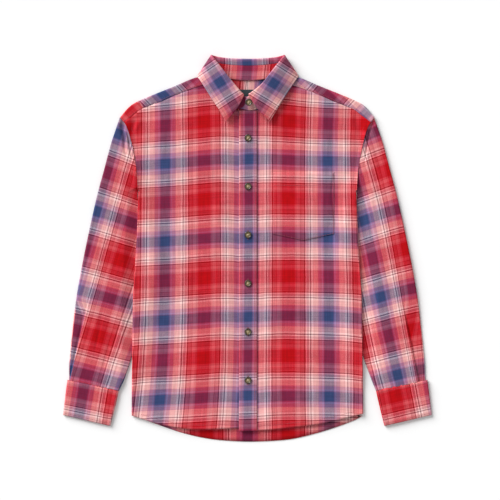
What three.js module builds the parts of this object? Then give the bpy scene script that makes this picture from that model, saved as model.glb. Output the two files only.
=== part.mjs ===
// A long-sleeved flannel shirt, buttoned and laid out flat on a table, front up.
// Millimetres. +X runs to the wearer's left, +Y from hem to collar, +Z up off the table.
// The origin lies on the table under the middle of the shirt's outline.
import * as THREE from "three";

// Cloth and seams
const PLY = 1.5; // one ply of brushed flannel
const BAND_PLY = 2.0; // collar stand and cuffs: two plies and an interlining
const LEAF_PLY = 1.8; // collar leaf
const PATCH_PLY = 1.2; // placket and pocket, sewn on a front
const GAP = 0.3; // between pieces at a seam, and between plies that touch

// Body
const UNDERARM_Y = 114;
const SIDE_RETURN = 34; // how far a front turns under at the side before its side seam
const FOLD_LIFT = 4.0; // height of the body's side where it lies over a sleeve
const BODY_LOFT = 5.2; // two plies and the air between them at the side
const MIDDLE_LOFT = 1.2; // what the middle of the body stands above that
const LIFT_RUN = 15; // run over which the body climbs onto a sleeve
const YOKE_SEAM_Y = 237; // seam of yoke and back, on the underside

// Placket, pocket and buttons
const PLACKET = { left: -16.8, right: 19.2, top: 275.6 };
const UNDER_FRONT_EDGE = -15; // centre edge of the front that lies under, mirrored
const POCKET = { left: 50.4, right: 173.6, top: 152, corner: 28, point: 11 };
const BUTTON = { diameter: 14, thick: 2.6, holes: 4, hole: 1.1, holeRing: 1.9, x: 1.2 };
const FRONT_BUTTONS = 6;
const BUTTON_PITCH = 96.7;
const TOP_BUTTON_Y = 220.6;
const COLLAR_BUTTON = { x: 2.6, y: 291 };

// Sleeves and cuffs
const SLEEVE_LOFT = 6.8;
const TUCKED_LOFT = 3.3; // the strip of sleeve that lies under the body
const CUFF_LOFT = 6.2;
const PLEAT_STEP = 1.6;

// Collar
const NECK_X = 1; // middle of the collar
const OVERLAP_LIFT = 2.4; // the upper end of the stand lies on the lower one
const ROLL_RADIUS = 2.6; // where the leaf turns over the stand
const LABEL = { width: 56, length: 30, thick: 0.8, top: 317.6 };

// Half the body's outline, a row for each level: the side fold
const SIDE = [
  { y: -386, x: 231 },
  { y: -300, x: 231.2 },
  { y: -200, x: 229.8 },
  { y: -100, x: 228.3 },
  { y: -20, x: 223.5 },
  { y: 52, x: 219.6 },
  { y: 114, x: 217.5 },
];
// The armhole seam, from underarm to shoulder
const ARMHOLE = [
  { y: 114, x: 217.9 },
  { y: 155, x: 221.2 },
  { y: 185, x: 227 },
  { y: 216, x: 233.7 },
  { y: 242, x: 241 },
  { y: 252.5, x: 246.8 },
  { y: 261.5, x: 254.6 },
];
// Inner edge of the sleeve, tucked under the body from y = 98 down to y = -222
const TUCK = [
  { y: -284, x: 257 },
  { y: -255, x: 243 },
  { y: -222, x: 230 },
  { y: -205, x: 225.5 },
  { y: -150, x: 215 },
  { y: -95, x: 206 },
  { y: -40, x: 199 },
  { y: 10, x: 200.5 },
  { y: 50, x: 207 },
  { y: 74, x: 213.5 },
  { y: 98, x: 218.6 },
  { y: 114, x: 219 },
  { y: 140, x: 236 },
  { y: 170, x: 262 },
];
const FRONT_HEM = [
  { x: 0, y: -363 },
  { x: 50, y: -361.5 },
  { x: 110, y: -357 },
  { x: 150, y: -352.5 },
  { x: 190, y: -344 },
  { x: 231, y: -331 },
];
const BACK_HEM = [
  { x: 0, y: -386 },
  { x: 52, y: -384 },
  { x: 90, y: -379.5 },
  { x: 128, y: -370 },
  { x: 166, y: -360 },
  { x: 196, y: -349.5 },
  { x: 215, y: -342 },
];
// Front neckline, then the seam of front and yoke out to the armhole
const FRONT_TOP = [
  { x: -17, y: 275 },
  { x: 18, y: 275.5 },
  { x: 40, y: 286 },
  { x: 58, y: 305 },
  { x: 70.5, y: 330 },
  { x: 73, y: 331.5 },
  { x: 84, y: 328.3 },
  { x: 96, y: 325 },
  { x: 110, y: 320.5 },
  { x: 135, y: 311 },
  { x: 175, y: 293.5 },
  { x: 211, y: 279.5 },
  { x: 228, y: 267 },
  { x: 246.8, y: 252.5 },
];
// The yoke: its front seam, the fold along the shoulder, and its seam with the back
const YOKE = [
  { frontX: 73, foldX: 76.5, foldY: 345, backX: 73 },
  { frontX: 84, foldX: 88, foldY: 341.5, backX: 84 },
  { frontX: 96, foldX: 100, foldY: 337.5, backX: 96 },
  { frontX: 110, foldX: 115, foldY: 336.4, backX: 110 },
  { frontX: 135, foldX: 141, foldY: 326, backX: 133 },
  { frontX: 175, foldX: 181, foldY: 310, backX: 171 },
  { frontX: 211, foldX: 220.5, foldY: 293.2, backX: 207 },
  { frontX: 228, foldX: 238, foldY: 281, backX: 224 },
  { frontX: 246.6, foldX: 254.2, foldY: 261.9, backX: 239 },
];
const BACK_NECK = [
  { x: 0, y: 336 },
  { x: 40, y: 339 },
  { x: 60, y: 341.5 },
  { x: 76.5, y: 344 },
];
// The sleeve, a row for each section: outer edge, inner edge, height, pleat step
const SLEEVE = [
  { outX: 254.9, outY: 261.7, inX: 218.4, inY: 114, loft: 6.4, pleat: 0 },
  { outX: 264.5, outY: 232, inX: 218.9, inY: 98, loft: 6.8, pleat: 0 },
  { outX: 273, outY: 206, inX: 213.5, inY: 74, loft: 6.8, pleat: 0 },
  { outX: 286, outY: 155, inX: 207, inY: 50, loft: 6.6, pleat: 0 },
  { outX: 300, outY: 102, inX: 200.5, inY: 10, loft: 6.4, pleat: 0 },
  { outX: 315, outY: 35, inX: 199, inY: -40, loft: 6.8, pleat: 0 },
  { outX: 330, outY: -40, inX: 206, inY: -95, loft: 6.8, pleat: 0 },
  { outX: 342, outY: -106, inX: 215, inY: -150, loft: 6.5, pleat: 0.2 },
  { outX: 350.5, outY: -169, inX: 226.5, inY: -208, loft: 6.8, pleat: 0.8 },
  { outX: 355.7, outY: -227, inX: 241, inY: -250, loft: 6.6, pleat: 1 },
  { outX: 357.2, outY: -264, inX: 256.8, inY: -284, loft: 5.8, pleat: 1 },
];
const CUFF = [
  { outX: 359.4, outY: -264.6, inX: 257.4, inY: -285, loft: CUFF_LOFT, pleat: 0 },
  { outX: 364, outY: -299, inX: 265.4, inY: -320, loft: CUFF_LOFT, pleat: 0 },
  { outX: 368.4, outY: -332.5, inX: 273.7, inY: -354.4, loft: CUFF_LOFT, pleat: 0 },
];
// Share of the sleeve's width, from its outer edge, where the pleat lies
const PLEAT_PLACE = { wearersLeft: 0.2, wearersRight: 0.11 };
// Half the collar, from its front end round to the middle of the back: the stand's neck
// seam and its top edge, on the stand's outer face, and the leaf's free edge
const COLLAR = [
  { seam: [-15, 281, 8.9], roll: [-8, 304, 12.5] },
  { seam: [7, 277.5, 8.9], roll: [8, 304, 13.5], edge: [44, 255.2, 9.6] },
  { seam: [33, 285, 8.9], roll: [26, 322.5, 16], edge: [58, 277, 10] },
  { seam: [54, 304, 8.9], roll: [43, 343, 18], edge: [72, 298.5, 10.2] },
  { seam: [67, 325, 8.9], roll: [58, 362, 18.5], edge: [86, 320.5, 10.4] },
  { seam: [73, 341, 8.6], roll: [68, 375, 17.2], edge: [96, 336, 10] },
  { seam: [75, 349.5, 6], roll: [73, 382.8, 11], edge: [101.3, 344.5, 5] },
  { seam: [69, 347, 2.7], roll: [68.5, 381.5, 4.2], edge: [94, 350.8, 0.4] },
  { seam: [54, 342, 2.7], roll: [54, 378.5, 2.7], edge: [72, 354.8, 0] },
  { seam: [28, 337.5, 2.7], roll: [28, 376.2, 2.7], edge: [38, 344.5, 0] },
  { seam: [0, 335.5, 2.7], roll: [0, 375.4, 2.7], edge: [0, 340.5, 0] },
];
const COLLAR_STEPS = 4 * (COLLAR.length - 1); // two to a row, right round the neck

const mix = THREE.MathUtils.lerp;
const rise = (value, from, to) => THREE.MathUtils.smoothstep(value, from, to);

// Reads a column of a table at a key, along a smooth curve through the rows.
function follow(rows, key, column, value) {
  const last = rows.length - 1;
  let i = 0;
  while (i < last - 1 && value > rows[i + 1][key]) i += 1;
  const [before, from, to, after] = [i - 1, i, i + 1, i + 2].map(
    (n) => rows[Math.min(Math.max(n, 0), last)]
  );
  const step = to[key] - from[key];
  const t = Math.min(Math.max((value - from[key]) / step, 0), 1);
  const slopeIn = ((to[column] - before[column]) / (to[key] - before[key])) * step;
  const slopeOut = ((after[column] - from[column]) / (after[key] - from[key])) * step;
  const [t2, t3] = [t * t, t * t * t];
  return (
    from[column] * (2 * t3 - 3 * t2 + 1) +
    slopeIn * (t3 - 2 * t2 + t) +
    to[column] * (3 * t2 - 2 * t3) +
    slopeOut * (t3 - t2)
  );
}

const side = (y) => follow(SIDE, "y", "x", y);
const armhole = (y) => follow(ARMHOLE, "y", "x", y);
const frontEdge = (y) => (y <= UNDERARM_Y ? side(y) : armhole(y) - GAP);
const frontHem = (x) => follow(FRONT_HEM, "x", "y", Math.abs(x));
const frontTop = (x) => follow(FRONT_TOP, "x", "y", x);

// Height of what lies under the body: nothing, or the tucked edge of a sleeve.
function lift(x, y, run = LIFT_RUN) {
  const inner = follow(TUCK, "y", "x", y);
  return FOLD_LIFT * rise(Math.abs(x), inner - 5 - run, inner - 5);
}

// Outer height of the fronts over the table.
function bodyTop(x, y) {
  const middle = MIDDLE_LOFT * (1 - rise(Math.abs(x), 110, 205));
  const hemDrop = 0.8 * rise(-y, 290, 355);
  return lift(x, y, 2.6 * LIFT_RUN) + BODY_LOFT + middle - hemDrop;
}

// Where a front turns under and meets the back: nearer the fold at underarm and hem.
function sideSeam(y) {
  return side(y) - SIDE_RETURN + 27 * rise(y, 62, UNDERARM_Y) + 18 * rise(-y, 230, 331);
}

// A closed wall: the outer points, and the same points moved in by its thickness.
// In a ring the last column joins the first. Cells that skip() names are left out.
function wall(rows, thick, { ring = false, skip = () => false } = {}) {
  const [high, wide] = [rows.length, rows[0].length];
  const column = (i) => (ring ? (i + wide) % wide : Math.min(Math.max(i, 0), wide - 1));
  const row = (j) => rows[Math.min(Math.max(j, 0), high - 1)];
  const inner = rows.map((line, j) =>
    line.map((point, i) => {
      const across = row(j)[column(i + 1)].clone().sub(row(j)[column(i - 1)]);
      const along = row(j + 1)[i].clone().sub(row(j - 1)[i]);
      return point.clone().addScaledVector(across.cross(along).normalize(), -thick);
    })
  );
  const points = [...rows.flat(), ...inner.flat()];
  const id = (j, i, inside) => j * wide + column(i) + (inside ? high * wide : 0);
  const cells = ring ? wide : wide - 1;
  const wrapped = (i) => (ring ? (i + cells) % cells : i);
  const built = (j, i) =>
    j >= 0 && j < high - 1 && (ring || (i >= 0 && i < cells)) && !skip(j, wrapped(i));
  const index = [];
  const quad = (a, b, c, d) => index.push(a, b, c, a, c, d);
  const rim = (a, b) => quad(id(...a, true), id(...b, true), id(...b), id(...a));
  for (let j = 0; j < high - 1; j += 1) {
    for (let i = 0; i < cells; i += 1) {
      if (!built(j, i)) continue;
      const corners = [[j, i], [j, i + 1], [j + 1, i + 1], [j + 1, i]];
      quad(...corners.map((c) => id(...c)));
      quad(...corners.map((c) => id(...c, true)).reverse());
      const neighbours = [[j - 1, i], [j, i + 1], [j + 1, i], [j, i - 1]];
      neighbours.forEach(([nj, ni], k) => {
        if (!built(nj, ni)) rim(corners[k], corners[(k + 1) % 4]);
      });
    }
  }
  return facingOut(points, index);
}

// A geometry from points and triangles, turned so that its faces point out.
function facingOut(points, index) {
  let volume = 0;
  for (let k = 0; k < index.length; k += 3) {
    const [a, b, c] = [points[index[k]], points[index[k + 1]], points[index[k + 2]]];
    volume += a.dot(b.clone().cross(c));
  }
  const geometry = new THREE.BufferGeometry().setFromPoints(points);
  geometry.setIndex(volume < 0 ? index.reverse() : index);
  geometry.computeVertexNormals();
  return geometry;
}

const spread = (from, to, steps) =>
  Array.from({ length: steps + 1 }, (_, k) => mix(from, to, k / steps));

// Half a turn round the outside of a fold, from its top to its bottom.
function foldArc(x, low, high, steps) {
  const radius = (high - low) / 2;
  return spread(0, Math.PI, steps).map((turn) => [
    x + radius * Math.sin(turn),
    low + radius * (1 + Math.cos(turn)),
  ]);
}

// A front, from its centre edge over to the armhole, and round the side fold to the
// side seam. Built on the +X side, at the height that its own overlap gives it.
const FRONT_ACROSS = [0.075, 0.15, 0.24, 0.333, 0.44, 0.55, 0.64, 0.72, 0.79, 0.85, 0.9, 0.95, 1];
const SIDE_LEVELS = [-331, -305, -270, -220, -165, -110, -55, -5, 35, 60, 78, 94, 106, 114];
const ARM_LEVELS = [140, 168, 198, 226, 252.5];
const FOLD_STEPS = 4;
const RETURN_STEPS = 2;

function frontPoint(centre, u, v) {
  let y = mix(-363, 252, v);
  let x = 0;
  for (let pass = 0; pass < 12; pass += 1) {
    x = mix(centre, frontEdge(y), u);
    y = mix(frontHem(x), frontTop(x), v);
  }
  return [x, y];
}

// Share of the way from hem to top at which a panel's side edge reaches a level.
function levelShare(y, edge, hem, top) {
  const x = edge(y);
  return (y - hem(x)) / (top(x) - hem(x));
}

function frontRows(centre, height) {
  return [...SIDE_LEVELS, ...ARM_LEVELS].map((level, j) => {
    const v = THREE.MathUtils.clamp(levelShare(level, frontEdge, frontHem, frontTop), 0, 1);
    const folded = j < SIDE_LEVELS.length;
    const flat = [0, ...FRONT_ACROSS].map((u) => {
      const [x, y] = frontPoint(centre, u, v);
      const over = folded ? Math.min(x, side(y) - BODY_LOFT / 2) : x;
      return new THREE.Vector3(over, y, height(over, y));
    });
    const { y, z } = flat.at(-1);
    const low = lift(side(y), y);
    const turn = foldArc(side(y) - (z - low) / 2, low, z, FOLD_STEPS).slice(1);
    const under = spread(turn.at(-1)[0], sideSeam(y) + 2 * GAP, RETURN_STEPS).slice(1);
    const wrap = [...turn, ...under.map((x) => [x, lift(x, y)])];
    return [...flat, ...wrap.map(([x, at]) => new THREE.Vector3(x, y, at))];
  });
}

function frontPanel(centre, height) {
  const overArm = (j, i) => j >= SIDE_LEVELS.length - 1 && i >= FRONT_ACROSS.length;
  return wall(frontRows(centre, height), PLY, { skip: overArm });
}

// The front on top carries the placket; the other one dips under it.
const upperFront = (x, y) => bodyTop(x, y) - 0.5 * (1 - rise(x, 20, 45));
const lowerFront = (x, y) => bodyTop(x, y) - 2.3 * (1 - rise(x, 18, 46));

// A flat piece sewn on the upper front, made from the front's points moved out.
function sewnOn(across, up, place) {
  const rows = spread(0, 1, up).map((v) =>
    spread(0, 1, across).map((u) => {
      const [x, y] = place(u, v);
      return new THREE.Vector3(x, y, upperFront(x, y) + GAP + PATCH_PLY);
    })
  );
  return wall(rows, PATCH_PLY);
}

function placket() {
  return sewnOn(3, 16, (u, v) => {
    const x = mix(PLACKET.left, PLACKET.right, u);
    return [x, mix(frontHem(x), PLACKET.top, v)];
  });
}

function pocket() {
  const { left, right, top, corner, point } = POCKET;
  return sewnOn(8, 6, (u, v) => {
    const bottom = corner - point * (1 - Math.abs(2 * u - 1));
    return [mix(left, right, u), mix(bottom, top, v)];
  });
}

// The back, from its tail to the yoke, between the side seams and the armholes.
function back() {
  const edge = (y) => (y <= UNDERARM_Y ? sideSeam(y) : armhole(y) - GAP);
  const hem = (x) => follow(BACK_HEM, "x", "y", x);
  const levels = [-342, ...SIDE_LEVELS.slice(1), UNDERARM_Y + 2, 140, 168, 198, YOKE_SEAM_Y];
  const shares = [0, 0.2, 0.4, 0.6, 0.72, 0.8, 0.86, 0.91, 0.96, 1];
  const half = levels.map((level) => {
    const v = THREE.MathUtils.clamp(levelShare(level, edge, hem, () => YOKE_SEAM_Y), 0, 1);
    return shares.map((u) => {
      let [x, y] = [0, level];
      for (let pass = 0; pass < 12; pass += 1) {
        x = u * edge(level > UNDERARM_Y ? Math.max(y, UNDERARM_Y + 1) : Math.min(y, UNDERARM_Y));
        y = mix(hem(x), YOKE_SEAM_Y, v);
      }
      return new THREE.Vector3(x, y, lift(x, y));
    });
  });
  return wall(half.map((line) => bothSides(line)).map((line) => line.reverse()), PLY);
}

// A line of points for x >= 0, with its mirror image before it.
function bothSides(line) {
  const mirrored = line.slice(1).map((p) => new THREE.Vector3(-p.x, p.y, p.z));
  return [...mirrored.reverse(), ...line];
}

// The yoke: a strip in front, the fold along the shoulder, and the panel behind.
function yoke() {
  const strips = 2;
  const turns = 4;
  const drops = 5;
  const shoulder = YOKE.map((row) => {
    const front = new THREE.Vector2(row.frontX, frontTop(row.frontX) + 2 * GAP);
    const fold = new THREE.Vector2(row.foldX, row.foldY);
    const out = fold.clone().sub(front).normalize();
    const high = bodyTop(front.x, front.y);
    const start = fold.clone().addScaledVector(out, -high / 2);
    const strip = spread(0, 1, strips).map((t) => [...front.clone().lerp(start, t), high]);
    const arc = foldArc(0, 0, high, turns).slice(1);
    const round = arc.map(([reach, z]) => [...start.clone().addScaledVector(out, reach), z]);
    const behind = spread(0, 1, drops).slice(1).map((t) => {
      const y = mix(start.y, YOKE_SEAM_Y + GAP, t);
      const x = mix(start.x, row.backX, t);
      return [Math.min(x, armhole(y) - GAP / 2), y, 0];
    });
    return [...strip, ...round, ...behind].map((p) => new THREE.Vector3(...p));
  });
  const neck = [0, 20, 40, 58].map((x) => {
    const top = follow(BACK_NECK, "x", "y", x);
    const hidden = Array(strips + turns).fill([x, top, 0]);
    const behind = spread(top, YOKE_SEAM_Y + GAP, drops).map((y) => [x, y, 0]);
    return [...hidden, ...behind].map((p) => new THREE.Vector3(...p));
  });
  const right = [...neck, ...shoulder];
  const left = right.slice(1).map((line) =>
    line.map((p) => new THREE.Vector3(-p.x, p.y, p.z))
  );
  const middle = left.length;
  const stations = [...left.reverse(), ...right].reverse();
  const inNeck = (j, i) => i < strips + turns && Math.abs(j + 0.5 - middle) < neck.length;
  return wall(stations, PLY, { skip: inNeck });
}

// One section of a laid sleeve or cuff: over the top from the outer edge to the inner,
// round the inner fold, back along the table and round the outer fold.
function tubeSection(row, bend, thick, pleatAt) {
  const outer = new THREE.Vector2(row.outX, row.outY);
  const inner = new THREE.Vector2(row.inX, row.inY);
  const width = outer.distanceTo(inner);
  const place = (share) => {
    const straight = outer.clone().lerp(inner, share);
    const y = mix(ARMHOLE.at(-1).y, UNDERARM_Y, share);
    const bow = armhole(y) - mix(ARMHOLE.at(-1).x, ARMHOLE[0].x, share);
    return [straight.x + bend * bow, straight.y];
  };
  const top = (share) => {
    const [x, y] = place(share);
    const beside = x - side(Math.min(y, UNDERARM_Y)) - 3 + 2 * Math.max(0, y - UNDERARM_Y);
    const loft = Math.min(row.loft, TUCKED_LOFT + 0.16 * Math.max(0, beside));
    return loft - PLEAT_STEP * row.pleat * (1 - rise(share, pleatAt - 0.03, pleatAt));
  };
  const folds = spread(0, Math.PI, 4).slice(1, -1);
  const shares = [0.03, pleatAt - 0.03, pleatAt, 0.3, 0.45, 0.6, 0.75, 0.86, 0.97];
  const endFold = (share, direction, high) =>
    folds.map((turn) => {
      const reach = (direction * high * Math.sin(turn)) / 2 / width;
      return [share + reach, (high * (1 + Math.cos(turn))) / 2];
    });
  const loop = [
    ...shares.map((share) => [share, top(share)]),
    ...endFold(0.97, 1, top(0.97)),
    ...[0.97, 0.75, 0.5, 0.25, 0.03].map((share) => [share, 0]),
    ...endFold(0.03, -1, top(0.03)).reverse(),
  ];
  return loop.map(([share, z]) => new THREE.Vector3(...place(share), z));
}

function sleeve(pleatAt) {
  const last = SLEEVE.length - 1;
  const rings = spread(0, last, last * 2).map((k) => {
    const [low, high] = [SLEEVE[Math.floor(k)], SLEEVE[Math.ceil(k)]];
    const row = {};
    for (const name of Object.keys(low)) row[name] = mix(low[name], high[name], k % 1);
    return tubeSection(row, 1 - rise(k, 0, 3), PLY, pleatAt);
  });
  return wall(rings, PLY, { ring: true });
}

function cuff() {
  const rings = CUFF.map((row) => tubeSection(row, 0, BAND_PLY, 0.15));
  return wall(rings, BAND_PLY, { ring: true });
}

// The collar's rows right round the neck, from the lower front end to the upper one.
function collarLine(name) {
  const rows = COLLAR.filter((row) => row[name]);
  const right = rows.map((row) => {
    const [x, y, z] = row[name];
    const raised = COLLAR.indexOf(row) < 2 ? OVERLAP_LIFT : 0;
    return new THREE.Vector3(NECK_X + x, y, z + raised);
  });
  const left = rows.slice(0, -1).map((row) => {
    const [x, y, z] = row[name];
    return new THREE.Vector3(NECK_X - x, y, z);
  });
  return new THREE.CatmullRomCurve3([...left, ...right.reverse()], false, "centripetal");
}

// The curves share their rows, so one row number finds the same station on each.
function collarStation(curves, share) {
  return curves.map((curve) => curve.getPoint(share));
}

function collarStand() {
  const curves = [collarLine("seam"), collarLine("roll")];
  const stations = spread(0, 1, COLLAR_STEPS).map((share) => {
    const [seam, roll] = collarStation(curves, share);
    return spread(0, 1, 3).map((t) => seam.clone().lerp(roll, t));
  });
  return wall(stations, BAND_PLY);
}

function collarLeaf() {
  const bare = 2 * COLLAR.filter((row) => !row.edge).length;
  const steps = COLLAR_STEPS - 2 * bare;
  const stand = [collarLine("seam"), collarLine("roll")];
  const free = collarLine("edge");
  const stations = spread(0, 1, steps).map((share) => {
    const along = (bare + share * steps) / COLLAR_STEPS;
    const [seam, roll] = collarStation(stand, along);
    const ahead = collarStation(stand, along + 0.004)[1];
    const behind = collarStation(stand, along - 0.004)[1];
    const up = roll.clone().sub(seam).normalize();
    const out = up.clone().cross(ahead.sub(behind).normalize()).normalize();
    const centre = roll.clone().addScaledVector(up, 4 * GAP);
    centre.addScaledVector(out, LEAF_PLY + 3 * GAP - ROLL_RADIUS);
    const roundTop = spread(-Math.PI / 2, Math.PI / 2, 5).map((turn) =>
      centre
        .clone()
        .addScaledVector(out, ROLL_RADIUS * Math.sin(turn))
        .addScaledVector(up, ROLL_RADIUS * Math.cos(turn))
    );
    const edge = free.getPoint(share);
    const fall = spread(0, 1, 4).slice(1).map((t) => {
      const bulge = 1.6 * Math.sin(Math.PI * t);
      return roundTop.at(-1).clone().lerp(edge, t).addScaledVector(out, bulge * Math.max(out.z, 0));
    });
    return [...roundTop, ...fall].map((p) => p.setZ(Math.max(p.z, 0)));
  });
  return wall(stations.map((line) => line.reverse()), LEAF_PLY);
}

// A four-hole button, its face up, its middle on the origin's plane at the bottom.
function button() {
  const { diameter, thick, holes, hole, holeRing } = BUTTON;
  const circle = (x, y, radius, count) =>
    spread(0, 2 * Math.PI, count).slice(1).map(
      (turn) => new THREE.Vector2(x + radius * Math.cos(turn), y + radius * Math.sin(turn))
    );
  const face = new THREE.Shape(circle(0, 0, diameter / 2, 20));
  for (const turn of spread(Math.PI / 4, 2 * Math.PI + Math.PI / 4, holes).slice(1)) {
    const [x, y] = [holeRing * Math.cos(turn), holeRing * Math.sin(turn)];
    face.holes.push(new THREE.Path(circle(x, y, hole, 6)));
  }
  return new THREE.ExtrudeGeometry(face, { depth: thick, bevelEnabled: false });
}

// Where a line straight down meets a piece, and which way the piece faces there.
function landing(piece, x, y) {
  piece.updateMatrixWorld();
  const ray = new THREE.Raycaster(new THREE.Vector3(x, y, 100), new THREE.Vector3(0, 0, -1));
  const [hit] = ray.intersectObject(piece);
  return { point: hit.point, facing: hit.face.normal };
}

// Sews a button on a piece, a gap of thread above it and square to its surface.
function sewButton(name, piece, x, y) {
  const { point, facing } = landing(piece, x, y);
  const sewn = add(name, button(), horn);
  sewn.quaternion.setFromUnitVectors(new THREE.Vector3(0, 0, 1), facing);
  sewn.position.copy(point).addScaledVector(facing, GAP);
}

const finish = (color, roughness) =>
  new THREE.MeshStandardMaterial({ color, roughness, metalness: 0 });
const flannel = finish(0xb45560, 0.95);
const horn = finish(0x6b5a3a, 0.35);
const labelCloth = finish(0x2c3d45, 0.8);

const shirt = new THREE.Group();
function add(name, geometry, material = flannel) {
  const mesh = new THREE.Mesh(geometry, material);
  mesh.name = name;
  shirt.add(mesh);
  return mesh;
}

// Turns a piece built on the +X side into its mirror image.
function mirrored(geometry) {
  const points = [];
  const at = geometry.attributes.position;
  for (let k = 0; k < at.count; k += 1) {
    points.push(new THREE.Vector3(-at.getX(k), at.getY(k), at.getZ(k)));
  }
  return facingOut(points, [...geometry.index.array]);
}

add("back", back());
add("yoke", yoke());
add("front_left", frontPanel(PLACKET.left, upperFront));
add("front_right", mirrored(frontPanel(UNDER_FRONT_EDGE, lowerFront)));
const placketStrip = add("placket", placket());
add("pocket", pocket());
add("sleeve_left", sleeve(PLEAT_PLACE.wearersLeft));
add("sleeve_right", mirrored(sleeve(PLEAT_PLACE.wearersRight)));
add("cuff_left", cuff());
add("cuff_right", mirrored(cuff()));
const stand = add("collar_stand", collarStand());
add("collar_leaf", collarLeaf());

const labelGeometry = new THREE.BoxGeometry(LABEL.width, LABEL.length, LABEL.thick);
const label = add("label", labelGeometry, labelCloth);
label.position.set(NECK_X, LABEL.top - LABEL.length / 2, PLY + GAP + LABEL.thick / 2);

for (let k = 0; k < FRONT_BUTTONS; k += 1) {
  sewButton(`button_${k + 1}`, placketStrip, BUTTON.x, TOP_BUTTON_Y - k * BUTTON_PITCH);
}
sewButton("button_collar", stand, COLLAR_BUTTON.x, COLLAR_BUTTON.y);

export default shirt;
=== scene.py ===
# %% [markdown]
# A flannel shirt, laid out flat
#
# This file dresses the solids of a buttoned flannel shirt that lies on a table, front up.
# Each cut piece of cloth becomes a thin grid of points with its own place in the woven
# plaid. The cells run from top to bottom, and each one makes one thing.

import math

import bpy
import numpy as np
from mathutils import Matrix, Vector


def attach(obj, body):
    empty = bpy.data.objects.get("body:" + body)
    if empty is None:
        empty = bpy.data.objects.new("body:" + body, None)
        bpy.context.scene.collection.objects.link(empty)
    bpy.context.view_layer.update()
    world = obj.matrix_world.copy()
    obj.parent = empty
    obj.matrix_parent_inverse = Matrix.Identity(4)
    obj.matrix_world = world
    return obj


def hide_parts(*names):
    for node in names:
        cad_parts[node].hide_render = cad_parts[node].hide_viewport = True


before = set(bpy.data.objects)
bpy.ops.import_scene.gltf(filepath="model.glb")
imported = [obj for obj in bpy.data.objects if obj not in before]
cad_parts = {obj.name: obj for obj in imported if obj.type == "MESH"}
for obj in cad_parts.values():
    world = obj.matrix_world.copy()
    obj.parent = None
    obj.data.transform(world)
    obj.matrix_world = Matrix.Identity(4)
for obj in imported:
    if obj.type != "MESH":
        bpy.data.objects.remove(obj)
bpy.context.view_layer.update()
MM = 0.001

# %% [markdown]
# Sizes
#
# The shirt's outline is kept in short tables, one for each edge, in millimetres from the
# middle of the outline. A tailor would draw the same edges with a few marks and a curved
# ruler. A smooth curve through the marks does the ruler's work, and numpy lets it answer
# for thousands of points at once.

# %% Curves through marks


def smooth(rows):
    """A smooth curve through rows of (key, value), which keeps its end values beyond them."""
    keys, values = np.array(rows, float).T
    slopes = np.empty_like(values)
    slopes[1:-1] = (values[2:] - values[:-2]) / (keys[2:] - keys[:-2])
    slopes[0] = (values[1] - values[0]) / (keys[1] - keys[0])
    slopes[-1] = (values[-1] - values[-2]) / (keys[-1] - keys[-2])

    def at(key):
        key = np.clip(key, keys[0], keys[-1])
        i = np.clip(np.searchsorted(keys, key, "right") - 1, 0, len(keys) - 2)
        step = keys[i + 1] - keys[i]
        t = (key - keys[i]) / step
        ends = values[i] * (2 * t**3 - 3 * t**2 + 1) + values[i + 1] * (3 * t**2 - 2 * t**3)
        return ends + step * (slopes[i] * (t**3 - 2 * t**2 + t) + slopes[i + 1] * (t**3 - t**2))

    return at


def rise(value, start, end):
    """0 before start, 1 after end, and a soft step between them."""
    t = np.clip((value - start) / (end - start), 0, 1)
    return t * t * (3 - 2 * t)


def mix(a, b, t):
    return a + (b - a) * t


def unit(vectors):
    return vectors / np.linalg.norm(vectors, axis=-1, keepdims=True)


# %% The outline's marks
PLY = 1.1  # one ply of brushed flannel
BAND = 1.8  # collar stand and cuffs, two plies with an interlining
LEAF = 1.6
PATCH = 1.0  # placket and pocket
GAP = 0.3

UNDERARM_Y = 114
ARMHOLE_TOP_Y = 261.5
SIDE_RETURN = 34
FOLD_LIFT = 4.0
BODY_LOFT = 5.2
MIDDLE_LOFT = 1.2
LIFT_RUN = 15
YOKE_SEAM_Y = 237

# side fold and armhole seam: (height up the shirt, half width)
side = smooth([
    (-386, 231), (-300, 231.2), (-200, 229.8), (-100, 228.3), (-20, 223.5), (52, 219.6), (114, 217.5),
])
armhole = smooth([
    (114, 217.9), (155, 220.6), (185, 225.6), (216, 232), (242, 240), (252.5, 246.4), (261.5, 254.6),
])
# the sleeve's inner edge, most of it tucked under the body
tuck = smooth([
    (-284, 257), (-255, 243), (-222, 230), (-205, 225.5), (-150, 215), (-95, 206), (-40, 199),
    (10, 200.5), (50, 207), (74, 213.5), (98, 218.6), (114, 219), (140, 236), (170, 262),
])
# hems, from side to side: (place across, height)
front_hem_left = smooth([
    (0, -364), (50, -361.5), (109, -355), (147, -350), (185, -341.5), (228, -331), (232, -330),
])
front_hem_right = smooth([
    (0, -358), (40, -359.5), (71, -361), (109, -361), (140, -358), (163, -353.5), (191, -346.5),
    (231, -334),
])
back_hem = smooth([
    (-231, -333), (-215, -339), (-191, -347.5), (-169, -355.6), (-140, -365.6), (-109, -374), (-79, -380),
    (-50, -383.4), (0, -386), (52, -384.4), (90, -380.6), (128, -372), (167, -360.6), (214, -343.4), (231, -334),
])
# the fronts' upper edge: neckline, then the seam with the yoke
front_top = smooth([
    (-17, 275), (18, 275.5), (40, 286), (58, 305), (70.5, 330), (73, 331.5), (84, 328.3), (96, 325),
    (110, 320.5), (135, 311), (175, 293.5), (211, 279.5), (228, 267), (246.8, 252.5),
])
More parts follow.
